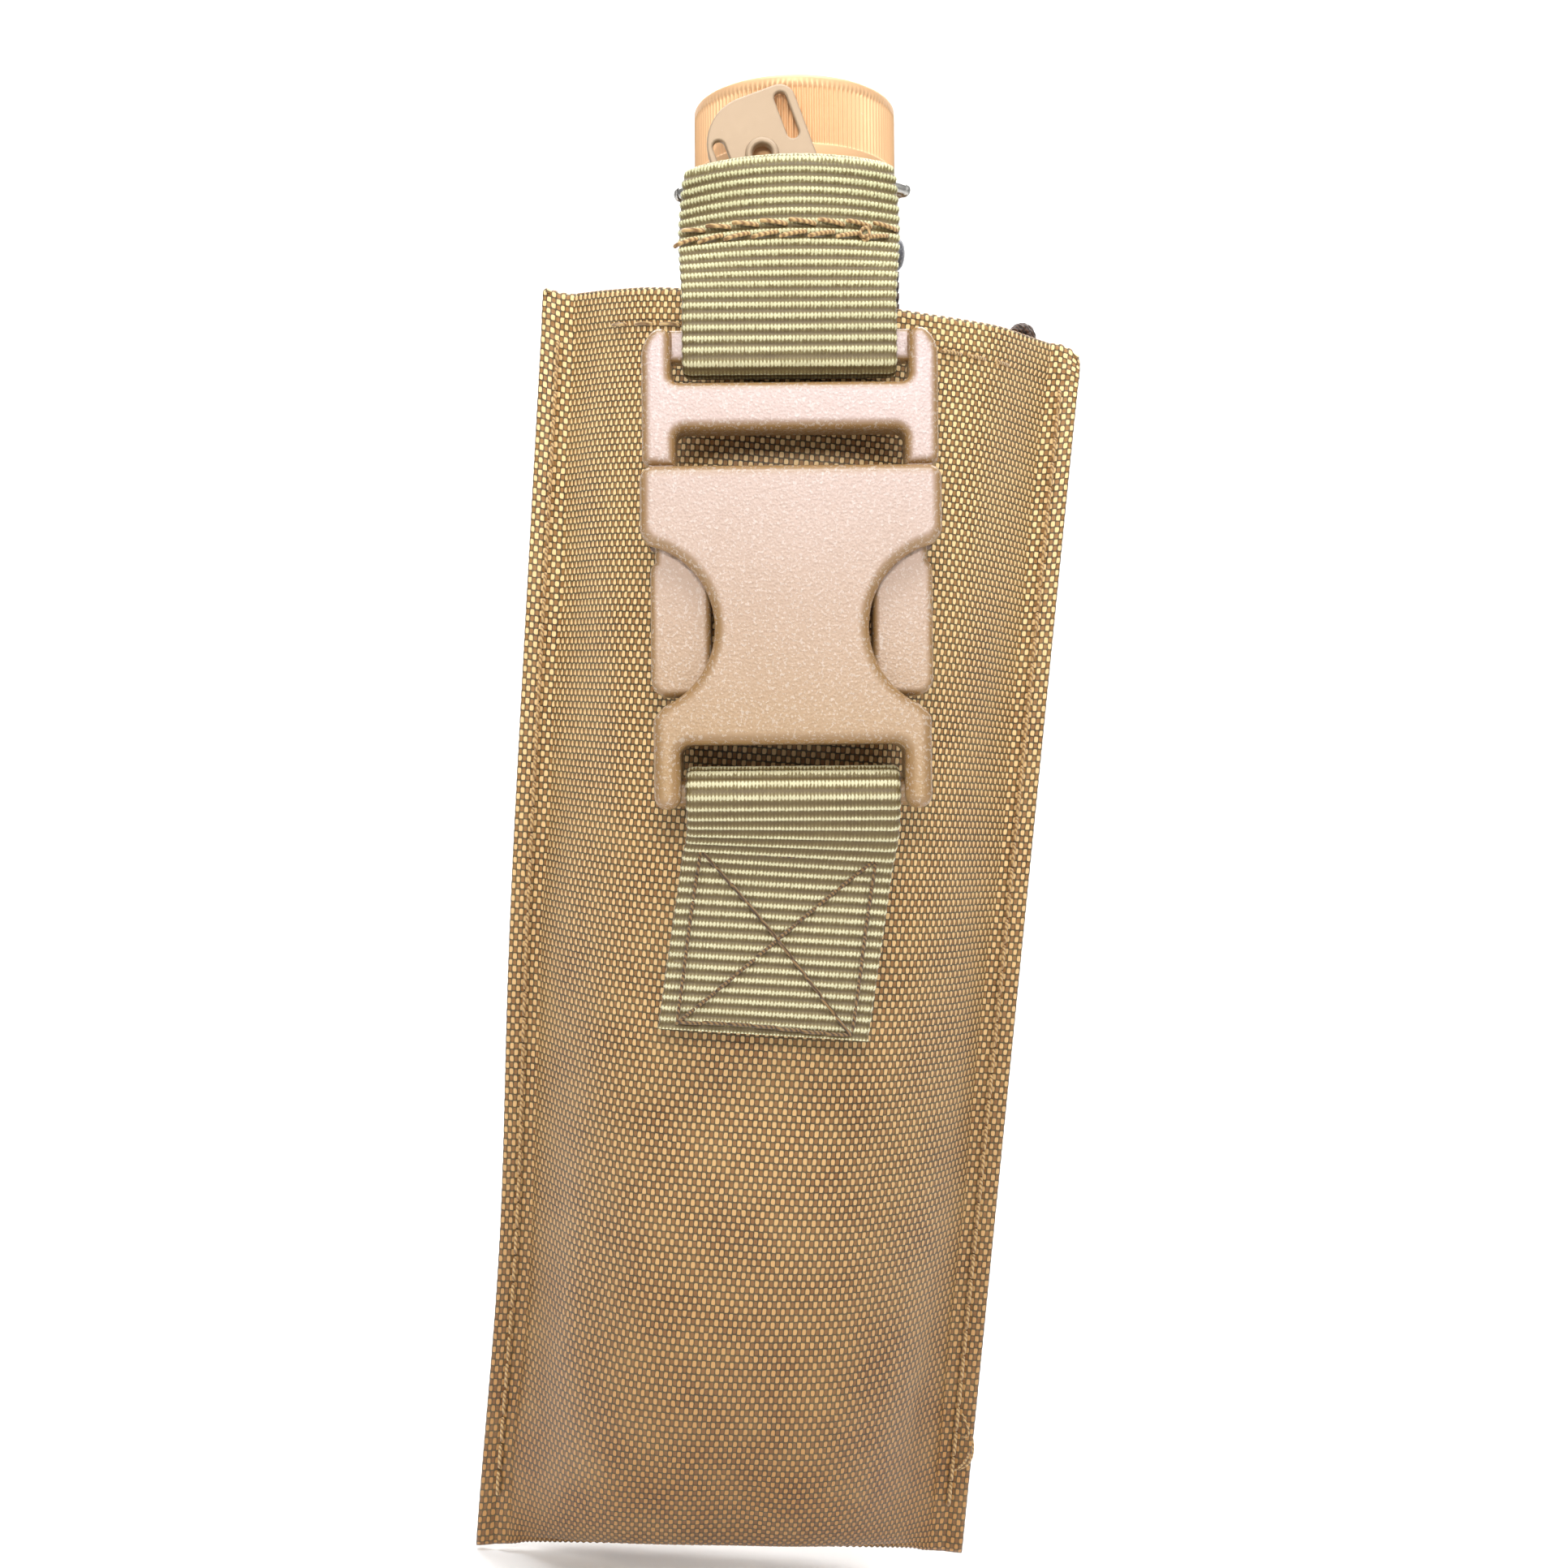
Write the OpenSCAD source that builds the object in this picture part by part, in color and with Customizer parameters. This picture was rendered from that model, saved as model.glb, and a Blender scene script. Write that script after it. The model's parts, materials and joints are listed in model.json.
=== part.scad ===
// Tactical flashlight carried in a sewn nylon belt pouch, held in by a webbing strap with a
// side-release buckle. Millimetres. +Z runs up the pouch, its front faces -Y, and the origin
// is the centre of the belt loop's rear face. Heights are counted from a level 98 mm below the
// origin, which is a little above the pouch's bottom fold, and depths run forward from the
// flashlight's centre line.

/* [Pouch] */
// Height of the pouch at its left corner
pouch_height = 165.8; // [162:0.1:170]
// Width across the mouth
mouth_width = 71.8; // [70:0.1:74]
// Width across the bottom fold
bottom_width = 64.5; // [63:0.1:68]
// Drop of the mouth edge from its left corner to its right corner
mouth_drop = 2.4; // [0:0.1:5]
// Dip of the mouth edge between its corners, where the light pushes the panel forward
mouth_dip = 4.4; // [0:0.1:5]
// Fabric thickness
fabric = 1.2; // [1:0.05:1.3]
// Width of the sewn flange down each side
flange = 4.2; // [3.5:0.1:4.6]

/* [Webbing] */
// Width of the strap webbing
webbing_width = 25.4; // [24:0.1:25.4]
// Thickness of one webbing layer
webbing = 1.6; // [1.2:0.05:1.6]
// Width of the belt loop webbing
loop_width = 38; // [32:1:44]
// Thickness of the belt loop webbing
loop_webbing = 1.8; // [1.5:0.1:2]
// Belt space between the loop and the pouch
belt_gap = 6.2; // [5:0.1:8]
// Height of the belt loop's centre above the level that heights are counted from
loop_height = 98; // [92:1:104]

/* [Flashlight] */
// Body tube diameter
tube_d = 25.4; // [25.2:0.1:25.6]
// Head diameter
head_d = 26.4; // [26.2:0.1:27]
// Tail cap diameter
cap_d = 26.3; // [25.8:0.1:26.5]
// Height of the bezel's open end above the level that heights are counted from
light_bottom = 22; // [20:0.5:24]
// Number of grip flutes on the tail cap
cap_flutes = 96; // [48:2:128]
// Lean of the flashlight, strap and buckle from the pouch's centre line, degrees
lean = 4.6; // [3:0.1:5]

/* [Buckle] */
// Width of the buckle at its shoulders
buckle_width = 35.4; // [35.2:0.1:36]
// Thickness of the buckle's socket half
socket_thickness = 8.8; // [8:0.1:8.8]
// Thickness of the buckle's plug half
plug_thickness = 5.6; // [5:0.1:6]

/* [Fits] */
// Radial clearance of the running fits
running = 0.05; // [0.03:0.01:0.08]

/* [Hidden] */
$fn = 64;

// Small gap that keeps resting surfaces from sharing volume.
gap = 0.05;
// How far a cutting solid runs past the surface it cuts.
past = 1;

// Pouch section: the seam plane, and how far each panel bulges from it.
back_y = -(belt_gap + loop_webbing);
back_inner_y = back_y - fabric;
axis_y = back_inner_y - head_d / 2 - 0.8;
seam_y = axis_y + 4.5;
front_room = 15.8;
front_depth = front_room + fabric;
front_bulge = seam_y - (axis_y - front_room);
back_bulge = back_inner_y - seam_y;
bottom_round = 26;
front_power = 3;
back_power = 5;
inner_gap = 0.15;
fold_arch = 1.5;
fold_tilt = 1.8;
fold_low = 4.2;
panel_columns = 33;
outer_levels = [0, 1.2, 3, 6, 10, 15, 20, 26, 45, 70, 95, 118, 136, 148, 155, 160, pouch_height];
inner_levels = [2.4, 3.3, 5, 8, 12, 16, 21, 26, 45, 70, 95, 118, 136, 148, 155, 160, pouch_height];

// The leaning line that the flashlight, strap and buckle share.
lean_x = -0.4;
lean_z = 124;
light_shift = 1;
hardware_depth = 21.5;

// Flashlight heights, from the bezel up.
tube_r = tube_d / 2;
head_r = head_d / 2;
cap_r = cap_d / 2;
bezel_top = light_bottom + 7;
lens_r = 12.1;
lens_bottom = light_bottom + 5.2;
lens_top = lens_bottom + 2;
reflector_top = lens_top + 15;
board_bottom = reflector_top + 1;
board_top = board_bottom + 1.6;
pill_top = board_top + 3.2;
head_top = pill_top + 8;
neck_r = 11;
bore_r = 8.7;
battery_bottom = pill_top + 10;
cell_r = 8.4;
cell_length = 34.5;
cell_count = 3;
battery_top = battery_bottom + cell_count * cell_length;
tube_top = 175.4;
cap_bottom = tube_top + gap;
cap_top = 185.6;
cap_neck_r = 9.6;
cap_neck_bottom = battery_top + 2;
cap_cavity_r = 8.2;
cap_cavity_top = cap_bottom + 1.5;

// Side switches on the tube's +X face.
pocket_floor = 10.4;
pocket_half = 4;
pocket_bottom = 156;
pocket_top = 170;
button_z = 167.2;
button_r = 2.15;
button_out = 14.4;
button_travel = 0.8;
pad_bottom = 158.6;
pad_top = 164.9;
pad_half = 3;
pad_out = 13.4;
pad_travel = 0.5;
board_face = 11;
switch_face = 11.5;

// Clip plate and its pivot on the tube's front face.
clip_z = 164;
clip_tilt = 20;
clip_inner = 13.2;
clip_thickness = 1;
clip_width = 12.7;
clip_length = 19.5;
clip_boss_r = 5.5;
pivot_r = 1.5;

// Strap, bail and buckle heights.
bail_r = 0.8;
bail_bend = 19.6;
bail_left = 46.5;
bail_right = 42.5;
bail_end_r = 10.9;
eye_r = bail_r + 0.25 + webbing / 2;
bail_z = 173.2 - eye_r - webbing / 2;
stitch_z = 163.2;
strap_columns = 15;
bend_start = 154;
bend_end = 168;
plug_bottom = 135;
plug_top = 152.2;
plug_bar_bottom = 147.6;
plug_bar_half = 1.5;
plug_slot_bottom = 145;
plug_cross_bottom = 139.4;
socket_bottom = 94.7;
socket_bar_z = 96.6;
socket_bar_r = 1.6;
throat_half = 16.9;
cavity_bottom = 106.4;
arm_thickness = 4.4;
arm_pivot_x = 14.7;
arm_pivot_z = 131;
arm_root_r = 1.8;
tab_top = 91;
tab_bottom = 67.5;
tab_lean = 4;
tab_x = 1.1;

// Stitches are short straight bars of thread.
thread = 0.5;
stitch_length = 2.6;
stitch_pitch = 3.5;

function mix(a, b, t) = a + (b - a) * t;

// Half the pouch's width, flange included, at a height.
function half_width(h) = mix(bottom_width, mouth_width, h / pouch_height) / 2;

// How full the bulge is across the panel: 1 in the middle, 0 at the flange.
function fullness(x, half, side) =
  abs(x) >= half ? 0 : 1 - pow(abs(x) / half, side < 0 ? front_power : back_power);

// How full the bulge is near the bottom, where the two panels run into the fold.
function rounding(h, start) =
  h >= bottom_round ? 1 : sqrt(1 - pow(1 - (h - start) / (bottom_round - start), 2));

// Height of a level at one place across: the mouth slopes and dips, the fold tilts and arches.
function level_height(x, h) =
  let (up = h / pouch_height,
       t = max(-1, min(1, x / half_width(h))))
    h - fold_low
    - pow(up, 5) * (mouth_drop * (1 + t) / 2 + mouth_dip * (1 - pow(abs(t), 2.5)))
    + pow(1 - up, 8) * fold_arch * (1 - t * t)
    + pow(1 - up, 4) * fold_tilt * t;

function smooth_step(low, high, x) =
  let (t = max(0, min(1, (x - low) / (high - low)))) t * t * (3 - 2 * t);

function outer_y(x, h, side) =
  seam_y + side * (fabric + (side < 0 ? front_bulge : back_bulge) * rounding(h, -0.3)
                   * fullness(x, half_width(h) - flange, side));

function inner_y(x, h, side) =
  seam_y + side * (inner_gap + (side < 0 ? front_bulge : back_bulge) * rounding(h, 2.3)
                   * fullness(x, half_width(h) - flange - fabric, side));

function across(i) = -1 + 2 * i / (panel_columns - 1);

// One ring of points: along the front from left to right, then back along the rear.
function outer_ring(h) =
  [for (side = [-1, 1], i = [0 : panel_columns - 1])
    let (x = -side * across(i) * half_width(h))
      [x, outer_y(x, h, side), level_height(x, h)]];

function inner_ring(h) =
  [for (side = [-1, 1], i = [0 : panel_columns - 1])
    let (x = -side * across(i) * (half_width(h) - flange - fabric))
      [x, inner_y(x, h, side), level_height(x, h)]];

shell_points = [for (h = outer_levels) each outer_ring(h), for (h = inner_levels) each inner_ring(h)];
ring_size = 2 * panel_columns;
outer_count = len(outer_levels);
inner_start = outer_count * ring_size;
inner_count = len(inner_levels);

// Two triangles for the four-sided patch a, b, c, d, listed clockwise from outside.
function patch(a, b, c, d) = [[a, b, c], [a, c, d]];

function wall_faces(start, count, outward) =
  [for (k = [0 : count - 2], j = [0 : ring_size - 1])
    let (low = start + k * ring_size,
         high = low + ring_size,
         next = (j + 1) % ring_size)
      each outward ? patch(low + j, high + j, high + next, low + next)
                   : patch(low + j, low + next, high + next, high + j)];

// Closes a ring between its front half and its rear half.
function floor_faces(start, downward) =
  [for (i = [0 : panel_columns - 2])
    let (a = start + i,
         b = start + i + 1,
         c = start + ring_size - 2 - i,
         d = start + ring_size - 1 - i)
      each downward ? patch(a, b, c, d) : patch(a, d, c, b)];

function rim_faces(outer, inner) =
  [for (j = [0 : ring_size - 1])
    let (next = (j + 1) % ring_size)
      each patch(outer + j, inner + j, inner + next, outer + next)];

shell_faces = concat(
  wall_faces(0, outer_count, true),
  floor_faces(0, true),
  wall_faces(inner_start, inner_count, false),
  floor_faces(inner_start, false),
  rim_faces((outer_count - 1) * ring_size, inner_start + (inner_count - 1) * ring_size));

// Places things measured from the pouch's bottom fold.
module on_pouch() {
  translate([0, 0, -loop_height])
    children();
}

// Places things on the leaning line; y = 0 is the flashlight's centre plane.
module leaning() {
  on_pouch()
    translate([lean_x, axis_y, lean_z])
      rotate([0, -lean, 0])
        translate([0, 0, -lean_z])
          children();
}

module in_light() {
  leaning()
    translate([light_shift, 0, 0])
      children();
}

// Sweeps a (depth, height) outline sideways, centred; depths in it are negative forward.
module swept_across(width) {
  rotate([90, 0, 90])
    linear_extrude(width, center = true)
      children();
}

// Gives an (across, height) outline a thickness about the given depth.
module facing(depth, thickness) {
  translate([0, -depth, 0])
    rotate([90, 0, 0])
      linear_extrude(thickness, center = true)
        children();
}

module ring(outer, inner, bottom, top) {
  translate([0, 0, bottom])
    difference() {
      cylinder(r = outer, h = top - bottom);
      translate([0, 0, -past])
        cylinder(r = inner, h = top - bottom + 2 * past);
    }
}

module disc(r, bottom, top) {
  translate([0, 0, bottom])
    cylinder(r = r, h = top - bottom);
}

module o_ring(middle, wire, z) {
  translate([0, 0, z])
    rotate_extrude()
      translate([middle, 0])
        circle(wire, $fn = 24);
}

// A cylinder that runs forward, towards -Y, between two depths.
module forward_rod(r, from, to, x, z) {
  translate([x, -from, z])
    rotate([90, 0, 0])
      cylinder(r = r, h = to - from);
}

// A cylinder that runs sideways, towards +X, from one place to another.
module side_rod(r, from, to, y, z) {
  translate([from, y, z])
    rotate([0, 90, 0])
      cylinder(r = r, h = to - from);
}

module block(low, high) {
  translate(low)
    cube(high - low);
}

// A wound spring: rings of points along a helix.
module coil(middle, wire, turns, bottom, top) {
  sides = 8;
  steps = 20 * turns;
  rise = (top - bottom - 2 * wire) / steps;
  points = [for (i = [0 : steps], j = [0 : sides - 1])
    let (turn = 18 * i, side = 360 * j / sides, r = middle + wire * cos(side))
      [r * cos(turn), r * sin(turn), bottom + wire + rise * i + wire * sin(side)]];
  walls = [for (i = [0 : steps - 1], j = [0 : sides - 1])
    let (a = i * sides + j, b = i * sides + (j + 1) % sides)
      each patch(a, b, b + sides, a + sides)];
  start = [[for (j = [0 : sides - 1]) sides - 1 - j]];
  finish = [[for (j = [0 : sides - 1]) steps * sides + j]];
  polyhedron(points, concat(walls, start, finish), convexity = 10);
}

// A row of stitches along x.
module stitch_row(from, to, y, z) {
  for (x = [from : stitch_pitch : to])
    translate([x, y - thread / 2, z - thread / 2])
      cube([stitch_length, thread, thread]);
}

module pouch_shell() {
  color("tan")
    on_pouch()
      polyhedron(shell_points, shell_faces, convexity = 8);
}

module side_seam_stitching() {
  color("khaki")
    on_pouch()
      for (side = [-1, 1], z = [6 : stitch_pitch : 152])
        translate([side * (half_width(z) - flange / 2), seam_y - fabric - thread / 2 - gap, z - fold_low])
          translate([-thread / 2, -thread / 2, 0])
            cube([thread, thread, stitch_length]);
}

// Each hem stitch lies along the front panel's curve, just clear of it.
module mouth_hem_stitching() {
  clear = 0.12;
  half = stitch_length / 2;
  color("khaki")
    on_pouch()
      for (x = [-17.5 : stitch_pitch : 17.5])
        let (left = outer_y(x - half, pouch_height, -1),
             right = outer_y(x + half, pouch_height, -1))
          translate([x, (left + right) / 2 - thread / 2 - clear, level_height(x, pouch_height) - 4.5])
            rotate([0, 0, atan2(right - left, stitch_length)])
              cube([stitch_length, thread, thread], center = true);
}

// The strap's ends pass round a bar: an eye with the given hole, drawn about (0, 0).
module eye(hole_r) {
  difference() {
    circle(hole_r + webbing);
    circle(hole_r);
  }
}

module lower_webbing_tab() {
  hole_r = socket_bar_r + 2 * gap;
  front = front_depth + gap;
  color("olive") {
    leaning()
      swept_across(webbing_width)
        difference() {
          union() {
            translate([-hardware_depth, socket_bar_z])
              circle(hole_r + webbing);
            polygon([[-hardware_depth - hole_r - webbing, socket_bar_z],
                     [-front - 2 * webbing, tab_top - 2],
                     [-front, tab_top - 2],
                     [-hardware_depth + hole_r + webbing, socket_bar_z]]);
          }
          translate([-hardware_depth, socket_bar_z])
            circle(hole_r);
        }
    on_pouch()
      translate([tab_x, axis_y, (tab_top + tab_bottom) / 2])
        rotate([0, tab_lean, 0])
          block([-webbing_width / 2, -front - 2 * webbing, (tab_bottom - tab_top) / 2],
                [webbing_width / 2, -front, (tab_top - tab_bottom) / 2]);
  }
}

module box_stitching() {
  half = webbing_width / 2 - 3.2;
  face = front_depth + gap + 2 * webbing;
  diagonal = half * sqrt(2);
  color("saddlebrown")
    on_pouch()
      translate([tab_x, axis_y - face - thread / 2 - gap, (tab_top + tab_bottom) / 2 - 1.7])
        rotate([0, tab_lean, 0]) {
          for (turn = [0 : 90 : 270])
            rotate([0, turn, 0])
              translate([0, 0, half])
                cube([2 * half + thread, thread, thread], center = true);
          for (turn = [45, 135])
            rotate([0, turn, 0])
              cube([2 * diagonal, thread, thread], center = true);
        }
}

module belt_loop() {
  flat = 30;
  ramp = 6.2;
  tab = 12;
  corner = 0.8;
  inner = -loop_webbing;
  panel = back_y + gap;
  seat = panel + loop_webbing;
  color("olive")
    swept_across(loop_width)
      polygon([for (side = [1, -1])
        let (half = [[inner, flat - corner],
                     [panel, flat + ramp - corner],
                     [panel, flat + ramp + tab],
                     [seat, flat + ramp + tab],
                     [seat, flat + ramp],
                     [0, flat]])
          for (i = [0 : 5])
            let (p = half[side > 0 ? i : 5 - i])
              [p[0], side * p[1]]]);
}

module belt_loop_stitching() {
  face = back_y + gap + loop_webbing + thread / 2;
  half = loop_width / 2 - 3;
  color("khaki")
    for (side = [-1, 1], row = [39, 45])
      stitch_row(-half, half - stitch_length, face, side * row);
}

// A short loop of cord sewn inside the mouth's right corner.
module cord_loop() {
  cord_r = 0.8;
  bend = 1;
  leg = 8;
  color("saddlebrown")
    on_pouch()
      translate([28.1, seam_y - 0.5, 159.6]) {
        rotate([90, 0, 0])
          rotate_extrude(angle = 180)
            translate([bend, 0])
              circle(cord_r, $fn = 24);
        for (side = [-1, 1])
          translate([side * bend, 0, -leg])
            cylinder(r = cord_r, h = leg);
      }
}

// Outline of the buckle's socket half: shoulders, a round waist and two ears.
module socket_outline() {
  shoulder = buckle_width / 2;
  ear = 16.3;
  waist_r = 10;
  waist_x = 19.05;
  waist_z = 116;
  corner = 1.5;
  difference() {
    union() {
      translate([-shoulder, waist_z])
        square([2 * shoulder, plug_bottom - gap - waist_z]);
      translate([-ear, socket_bottom + corner])
        square([2 * ear, waist_z - socket_bottom]);
      for (side = [-1, 1])
        translate([side * (ear - corner), socket_bottom + corner])
          circle(corner);
      translate([-ear + corner, socket_bottom])
        square([2 * (ear - corner), 2 * corner]);
    }
    for (side = [-1, 1])
      translate([side * waist_x, waist_z])
        circle(waist_r);
  }
}

module buckle_socket() {
  slot_half = 13.15;
  slot_top = 102.3;
  depth = hardware_depth;
  color("burlywood")
    leaning() {
      difference() {
        facing(depth, socket_thickness)
          socket_outline();
        block([-throat_half, -depth - arm_thickness / 2 - 0.1, cavity_bottom],
              [throat_half, -depth + arm_thickness / 2 + 0.1, plug_bottom + past]);
        block([-slot_half, -depth - socket_thickness, socket_bottom - past],
              [slot_half, -depth + socket_thickness, slot_top]);
      }
      side_rod(socket_bar_r, -slot_half - past, slot_half + past, -depth, socket_bar_z);
    }
}

// Both layers stay straight up to a little above the bar they wrap.
bar_clear = plug_top + 0.4;

// Depth of the strap's front layer, which runs straight from the bail to the buckle's bar.
function front_layer(z) =
  let (low = hardware_depth + plug_bar_half + gap + webbing / 2,
       high = bail_bend + eye_r)
    mix(low, high, max(0, min(1, (z - bar_clear) / (bail_z - bar_clear))));

// Depth of the rear layer, which is sewn against the front layer between the two eyes.
function rear_layer(z) =
  let (closed = webbing + gap,
       low = 2 * (plug_bar_half + gap) + webbing,
       high = 2 * eye_r,
       opening = z < stitch_z ? mix(low, closed, smooth_step(bar_clear, bar_clear + 4, z))
                              : mix(closed, high, smooth_step(bail_z - 6, bail_z, z)))
    front_layer(z) - opening;

// Middle line of the strap seen from the side, as (depth, height) points all the way round.
strap_corner = 0.95;
bar_gap = plug_bar_half + gap + webbing / 2 - strap_corner;
strap_line = concat(
  [for (turn = [0 : 20 : 180]) [bail_bend + eye_r * cos(turn), bail_z + eye_r * sin(turn)]],
  [for (z = [168.8, 167.4, 166, 164.6, 163, 161, 159.5, 158]) [rear_layer(z), z]],
  [for (rise = [4 : -1 : 0]) [rear_layer(bar_clear + rise), bar_clear + rise]],
  [[rear_layer(149.5), 149.5]],
  [for (turn = [180 : 30 : 270])
    [hardware_depth - bar_gap + strap_corner * cos(turn), plug_bar_bottom + 0.1 + strap_corner * sin(turn)]],
  [for (turn = [270 : 30 : 360])
    [hardware_depth + bar_gap + strap_corner * cos(turn), plug_bar_bottom + 0.1 + strap_corner * sin(turn)]],
  [for (z = [149.5, 151, bar_clear, 154, 156, 158, 160, 162, 164, 166, 168]) [front_layer(z), z]]);
strap_steps = len(strap_line);

// The middle line moved to one face of the webbing.
function strap_face(i, side) =
  let (before = strap_line[(i + strap_steps - 1) % strap_steps],
       after = strap_line[(i + 1) % strap_steps],
       along = (after - before) / norm(after - before))
    strap_line[i] + side * webbing / 2 * [along[1], -along[0]];

// Bends a point of the strap round the flashlight, more so towards its upper end.
function bent(across, point) =
  let (turn = (across - light_shift) / bail_bend * 180 / PI,
       depth = point[0],
       z = point[1],
       share = smooth_step(bend_start, bend_end, z))
    [mix(across, light_shift + depth * sin(turn), share), -mix(depth, depth * cos(turn), share), z];

strap_points = [for (side = [-1, 1], k = [0 : strap_columns - 1], i = [0 : strap_steps - 1])
  bent(webbing_width * (k / (strap_columns - 1) - 0.5), strap_face(i, side))];

strap_faces = [for (i = [0 : strap_steps - 1])
  let (next = (i + 1) % strap_steps,
       inner = strap_columns * strap_steps,
       last = (strap_columns - 1) * strap_steps)
    each concat(
      [for (k = [0 : strap_columns - 2])
        let (here = k * strap_steps, there = here + strap_steps)
          each concat(
            patch(here + i, there + i, there + next, here + next),
            patch(inner + here + i, inner + here + next, inner + there + next, inner + there + i))],
      patch(i, next, inner + next, inner + i),
      patch(last + i, inner + last + i, inner + last + next, last + next))];

module retention_strap() {
  color("olive")
    leaning()
      polyhedron(strap_points, strap_faces, convexity = 8);
}

// The stitches follow the strap's bend, clear of its front face.
module strap_stitching() {
  half = webbing_width / 2 - 1.5 - stitch_length / 2;
  rows = 0.8;
  color("khaki")
    leaning()
      for (x = [-half : stitch_pitch : half], row = [-rows, rows])
        let (z = stitch_z + row,
             place = bent(x, [front_layer(z) + webbing / 2 + thread / 2 + 2 * gap, z]),
             share = smooth_step(bend_start, bend_end, z))
          translate(place)
            rotate([0, 0, share * (x - light_shift) / bail_bend * 180 / PI])
              cube([stitch_length, thread, thread], center = true);
}

module plug_outline() {
  half = buckle_width / 2 - 0.2;
  corner = 4;
  translate([-half, plug_bottom])
    square([2 * half, plug_top - corner - plug_bottom]);
  translate([-half + corner, plug_bottom])
    square([2 * (half - corner), plug_top - plug_bottom]);
  for (side = [-1, 1])
    translate([side * (half - corner), plug_top - corner])
      circle(corner);
}

module buckle_plug_frame() {
  slot_half = 14;
  lower_half = 13.5;
  depth = hardware_depth;
  stub_half = 2.1;
  color("burlywood")
    leaning()
      difference() {
        union() {
          facing(depth, plug_thickness)
            plug_outline();
          for (side = [-1, 1])
            block([side * arm_pivot_x - stub_half, -depth - arm_thickness / 2, arm_pivot_z],
                  [side * arm_pivot_x + stub_half, -depth + arm_thickness / 2, plug_bottom + past]);
        }
        block([-slot_half, -depth - plug_thickness, plug_slot_bottom],
              [slot_half, -depth + plug_thickness, plug_bar_bottom]);
        block([-lower_half, -depth - plug_thickness, plug_bottom - 5],
              [lower_half, -depth + plug_thickness, plug_cross_bottom]);
        for (side = [-1, 1]) {
          translate([-slot_half, -depth + (side < 0 ? -plug_bar_half - past * 5 : plug_bar_half),
                     plug_slot_bottom])
            cube([2 * slot_half, past * 5, plug_top + past - plug_slot_bottom]);
          facing(depth, plug_thickness + past)
            translate([side * arm_pivot_x, arm_pivot_z])
              circle(arm_root_r + running);
        }
      }
}

// One spring arm of the buckle's plug, drawn on the right side.
module arm_outline() {
  pad_inner = 9.5;
  pad_outer = 16.65;
  pad_low = 108;
  pad_high = 124.5;
  corner = 2;
  stem_half = 1.3;
  translate([arm_pivot_x, arm_pivot_z])
    circle(arm_root_r);
  translate([arm_pivot_x - stem_half, pad_high - corner])
    square([2 * stem_half, arm_pivot_z - pad_high + corner]);
  translate([pad_inner + corner, pad_low])
    square([pad_outer - pad_inner - 2 * corner, pad_high - pad_low]);
  translate([pad_inner, pad_low + corner])
    square([pad_outer - pad_inner, pad_high - pad_low - 2 * corner]);
  for (x = [pad_inner + corner, pad_outer - corner], z = [pad_low + corner, pad_high - corner])
    translate([x, z])
      circle(corner);
}

module buckle_arm(side) {
  color("burlywood")
    leaning()
      facing(hardware_depth, arm_thickness)
        mirror([side < 0 ? 1 : 0, 0])
          arm_outline();
}

module buckle_arm_left() {
  buckle_arm(-1);
}

module buckle_arm_right() {
  buckle_arm(1);
}

module body_tube() {
  counterbore_bottom = cap_neck_bottom - 0.5;
  groove_z = pill_top + 4;
  grip_bottom = head_top + 14;
  grip_top = 146;
  grip_pitch = 6;
  color("tan")
    in_light()
      difference() {
        union() {
          disc(tube_r, head_top + gap, tube_top);
          disc(neck_r, pill_top + gap, head_top + past);
        }
        disc(bore_r, pill_top - past, tube_top + past);
        disc(cap_neck_r + running, counterbore_bottom, tube_top + past);
        ring(neck_r + past, 10.2, groove_z - 0.9, groove_z + 0.9);
        for (z = [grip_bottom : grip_pitch : grip_top])
          ring(tube_r + past, tube_r - 0.4, z, z + 1.4);
        block([pocket_floor, -pocket_half, pocket_bottom], [tube_r + past, pocket_half, pocket_top]);
        forward_rod(pivot_r + 0.02, 10.6, tube_r + past, 0, clip_z);
        for (turn = [bail_right, -bail_left])
          rotate([0, 0, turn])
            forward_rod(bail_r + 0.02, bail_end_r - 0.1, tube_r + past, 0, bail_z);
      }
}

module head_shell() {
  shelf = pill_top;
  color("tan")
    in_light()
      difference() {
        rotate_extrude()
          polygon([[0, bezel_top], [head_r - 0.4, bezel_top], [head_r, bezel_top + 0.4],
                   [head_r, shelf - 1], [tube_r + 0.2, head_top], [0, head_top]]);
        disc(lens_r + gap, bezel_top - past, shelf);
        disc(neck_r + gap, shelf - past, head_top + past);
        for (z = [shelf - 11, shelf - 8, shelf - 5])
          ring(head_r + past, head_r - 0.9, z, z + 1.4);
      }
}

module bezel_ring() {
  lip_r = 11.2;
  notches = 6;
  color("dimgray")
    in_light()
      difference() {
        disc(head_r, light_bottom, bezel_top - gap);
        disc(lip_r, light_bottom - past, bezel_top);
        disc(lens_r + gap, lens_bottom - 0.8, bezel_top);
        for (turn = [0 : 360 / notches : 359])
          rotate([0, 0, turn])
            side_rod(2.4, lip_r - past, head_r + past, 0, light_bottom - 1);
      }
}

module lens_window() {
  color("lightblue")
    in_light()
      disc(lens_r, lens_bottom, lens_top - gap);
}

module lens_gasket() {
  color("black")
    in_light()
      ring(lens_r, 11.25, lens_bottom - 0.75, lens_bottom - gap);
}

// The reflector's inner face is a parabola about the emitter.
module reflector() {
  rim_r = 11.3;
  vertex = reflector_top + 0.8;
  focus = rim_r * rim_r / (vertex - lens_top);
  steps = 12;
  color("silver")
    in_light()
      rotate_extrude()
        polygon(concat(
          [[lens_r, lens_top], [lens_r, reflector_top - gap]],
          [for (i = [0 : steps])
            let (z = mix(reflector_top - gap, lens_top, i / steps))
              [sqrt(focus * (vertex - z)), z]]));
}

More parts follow.
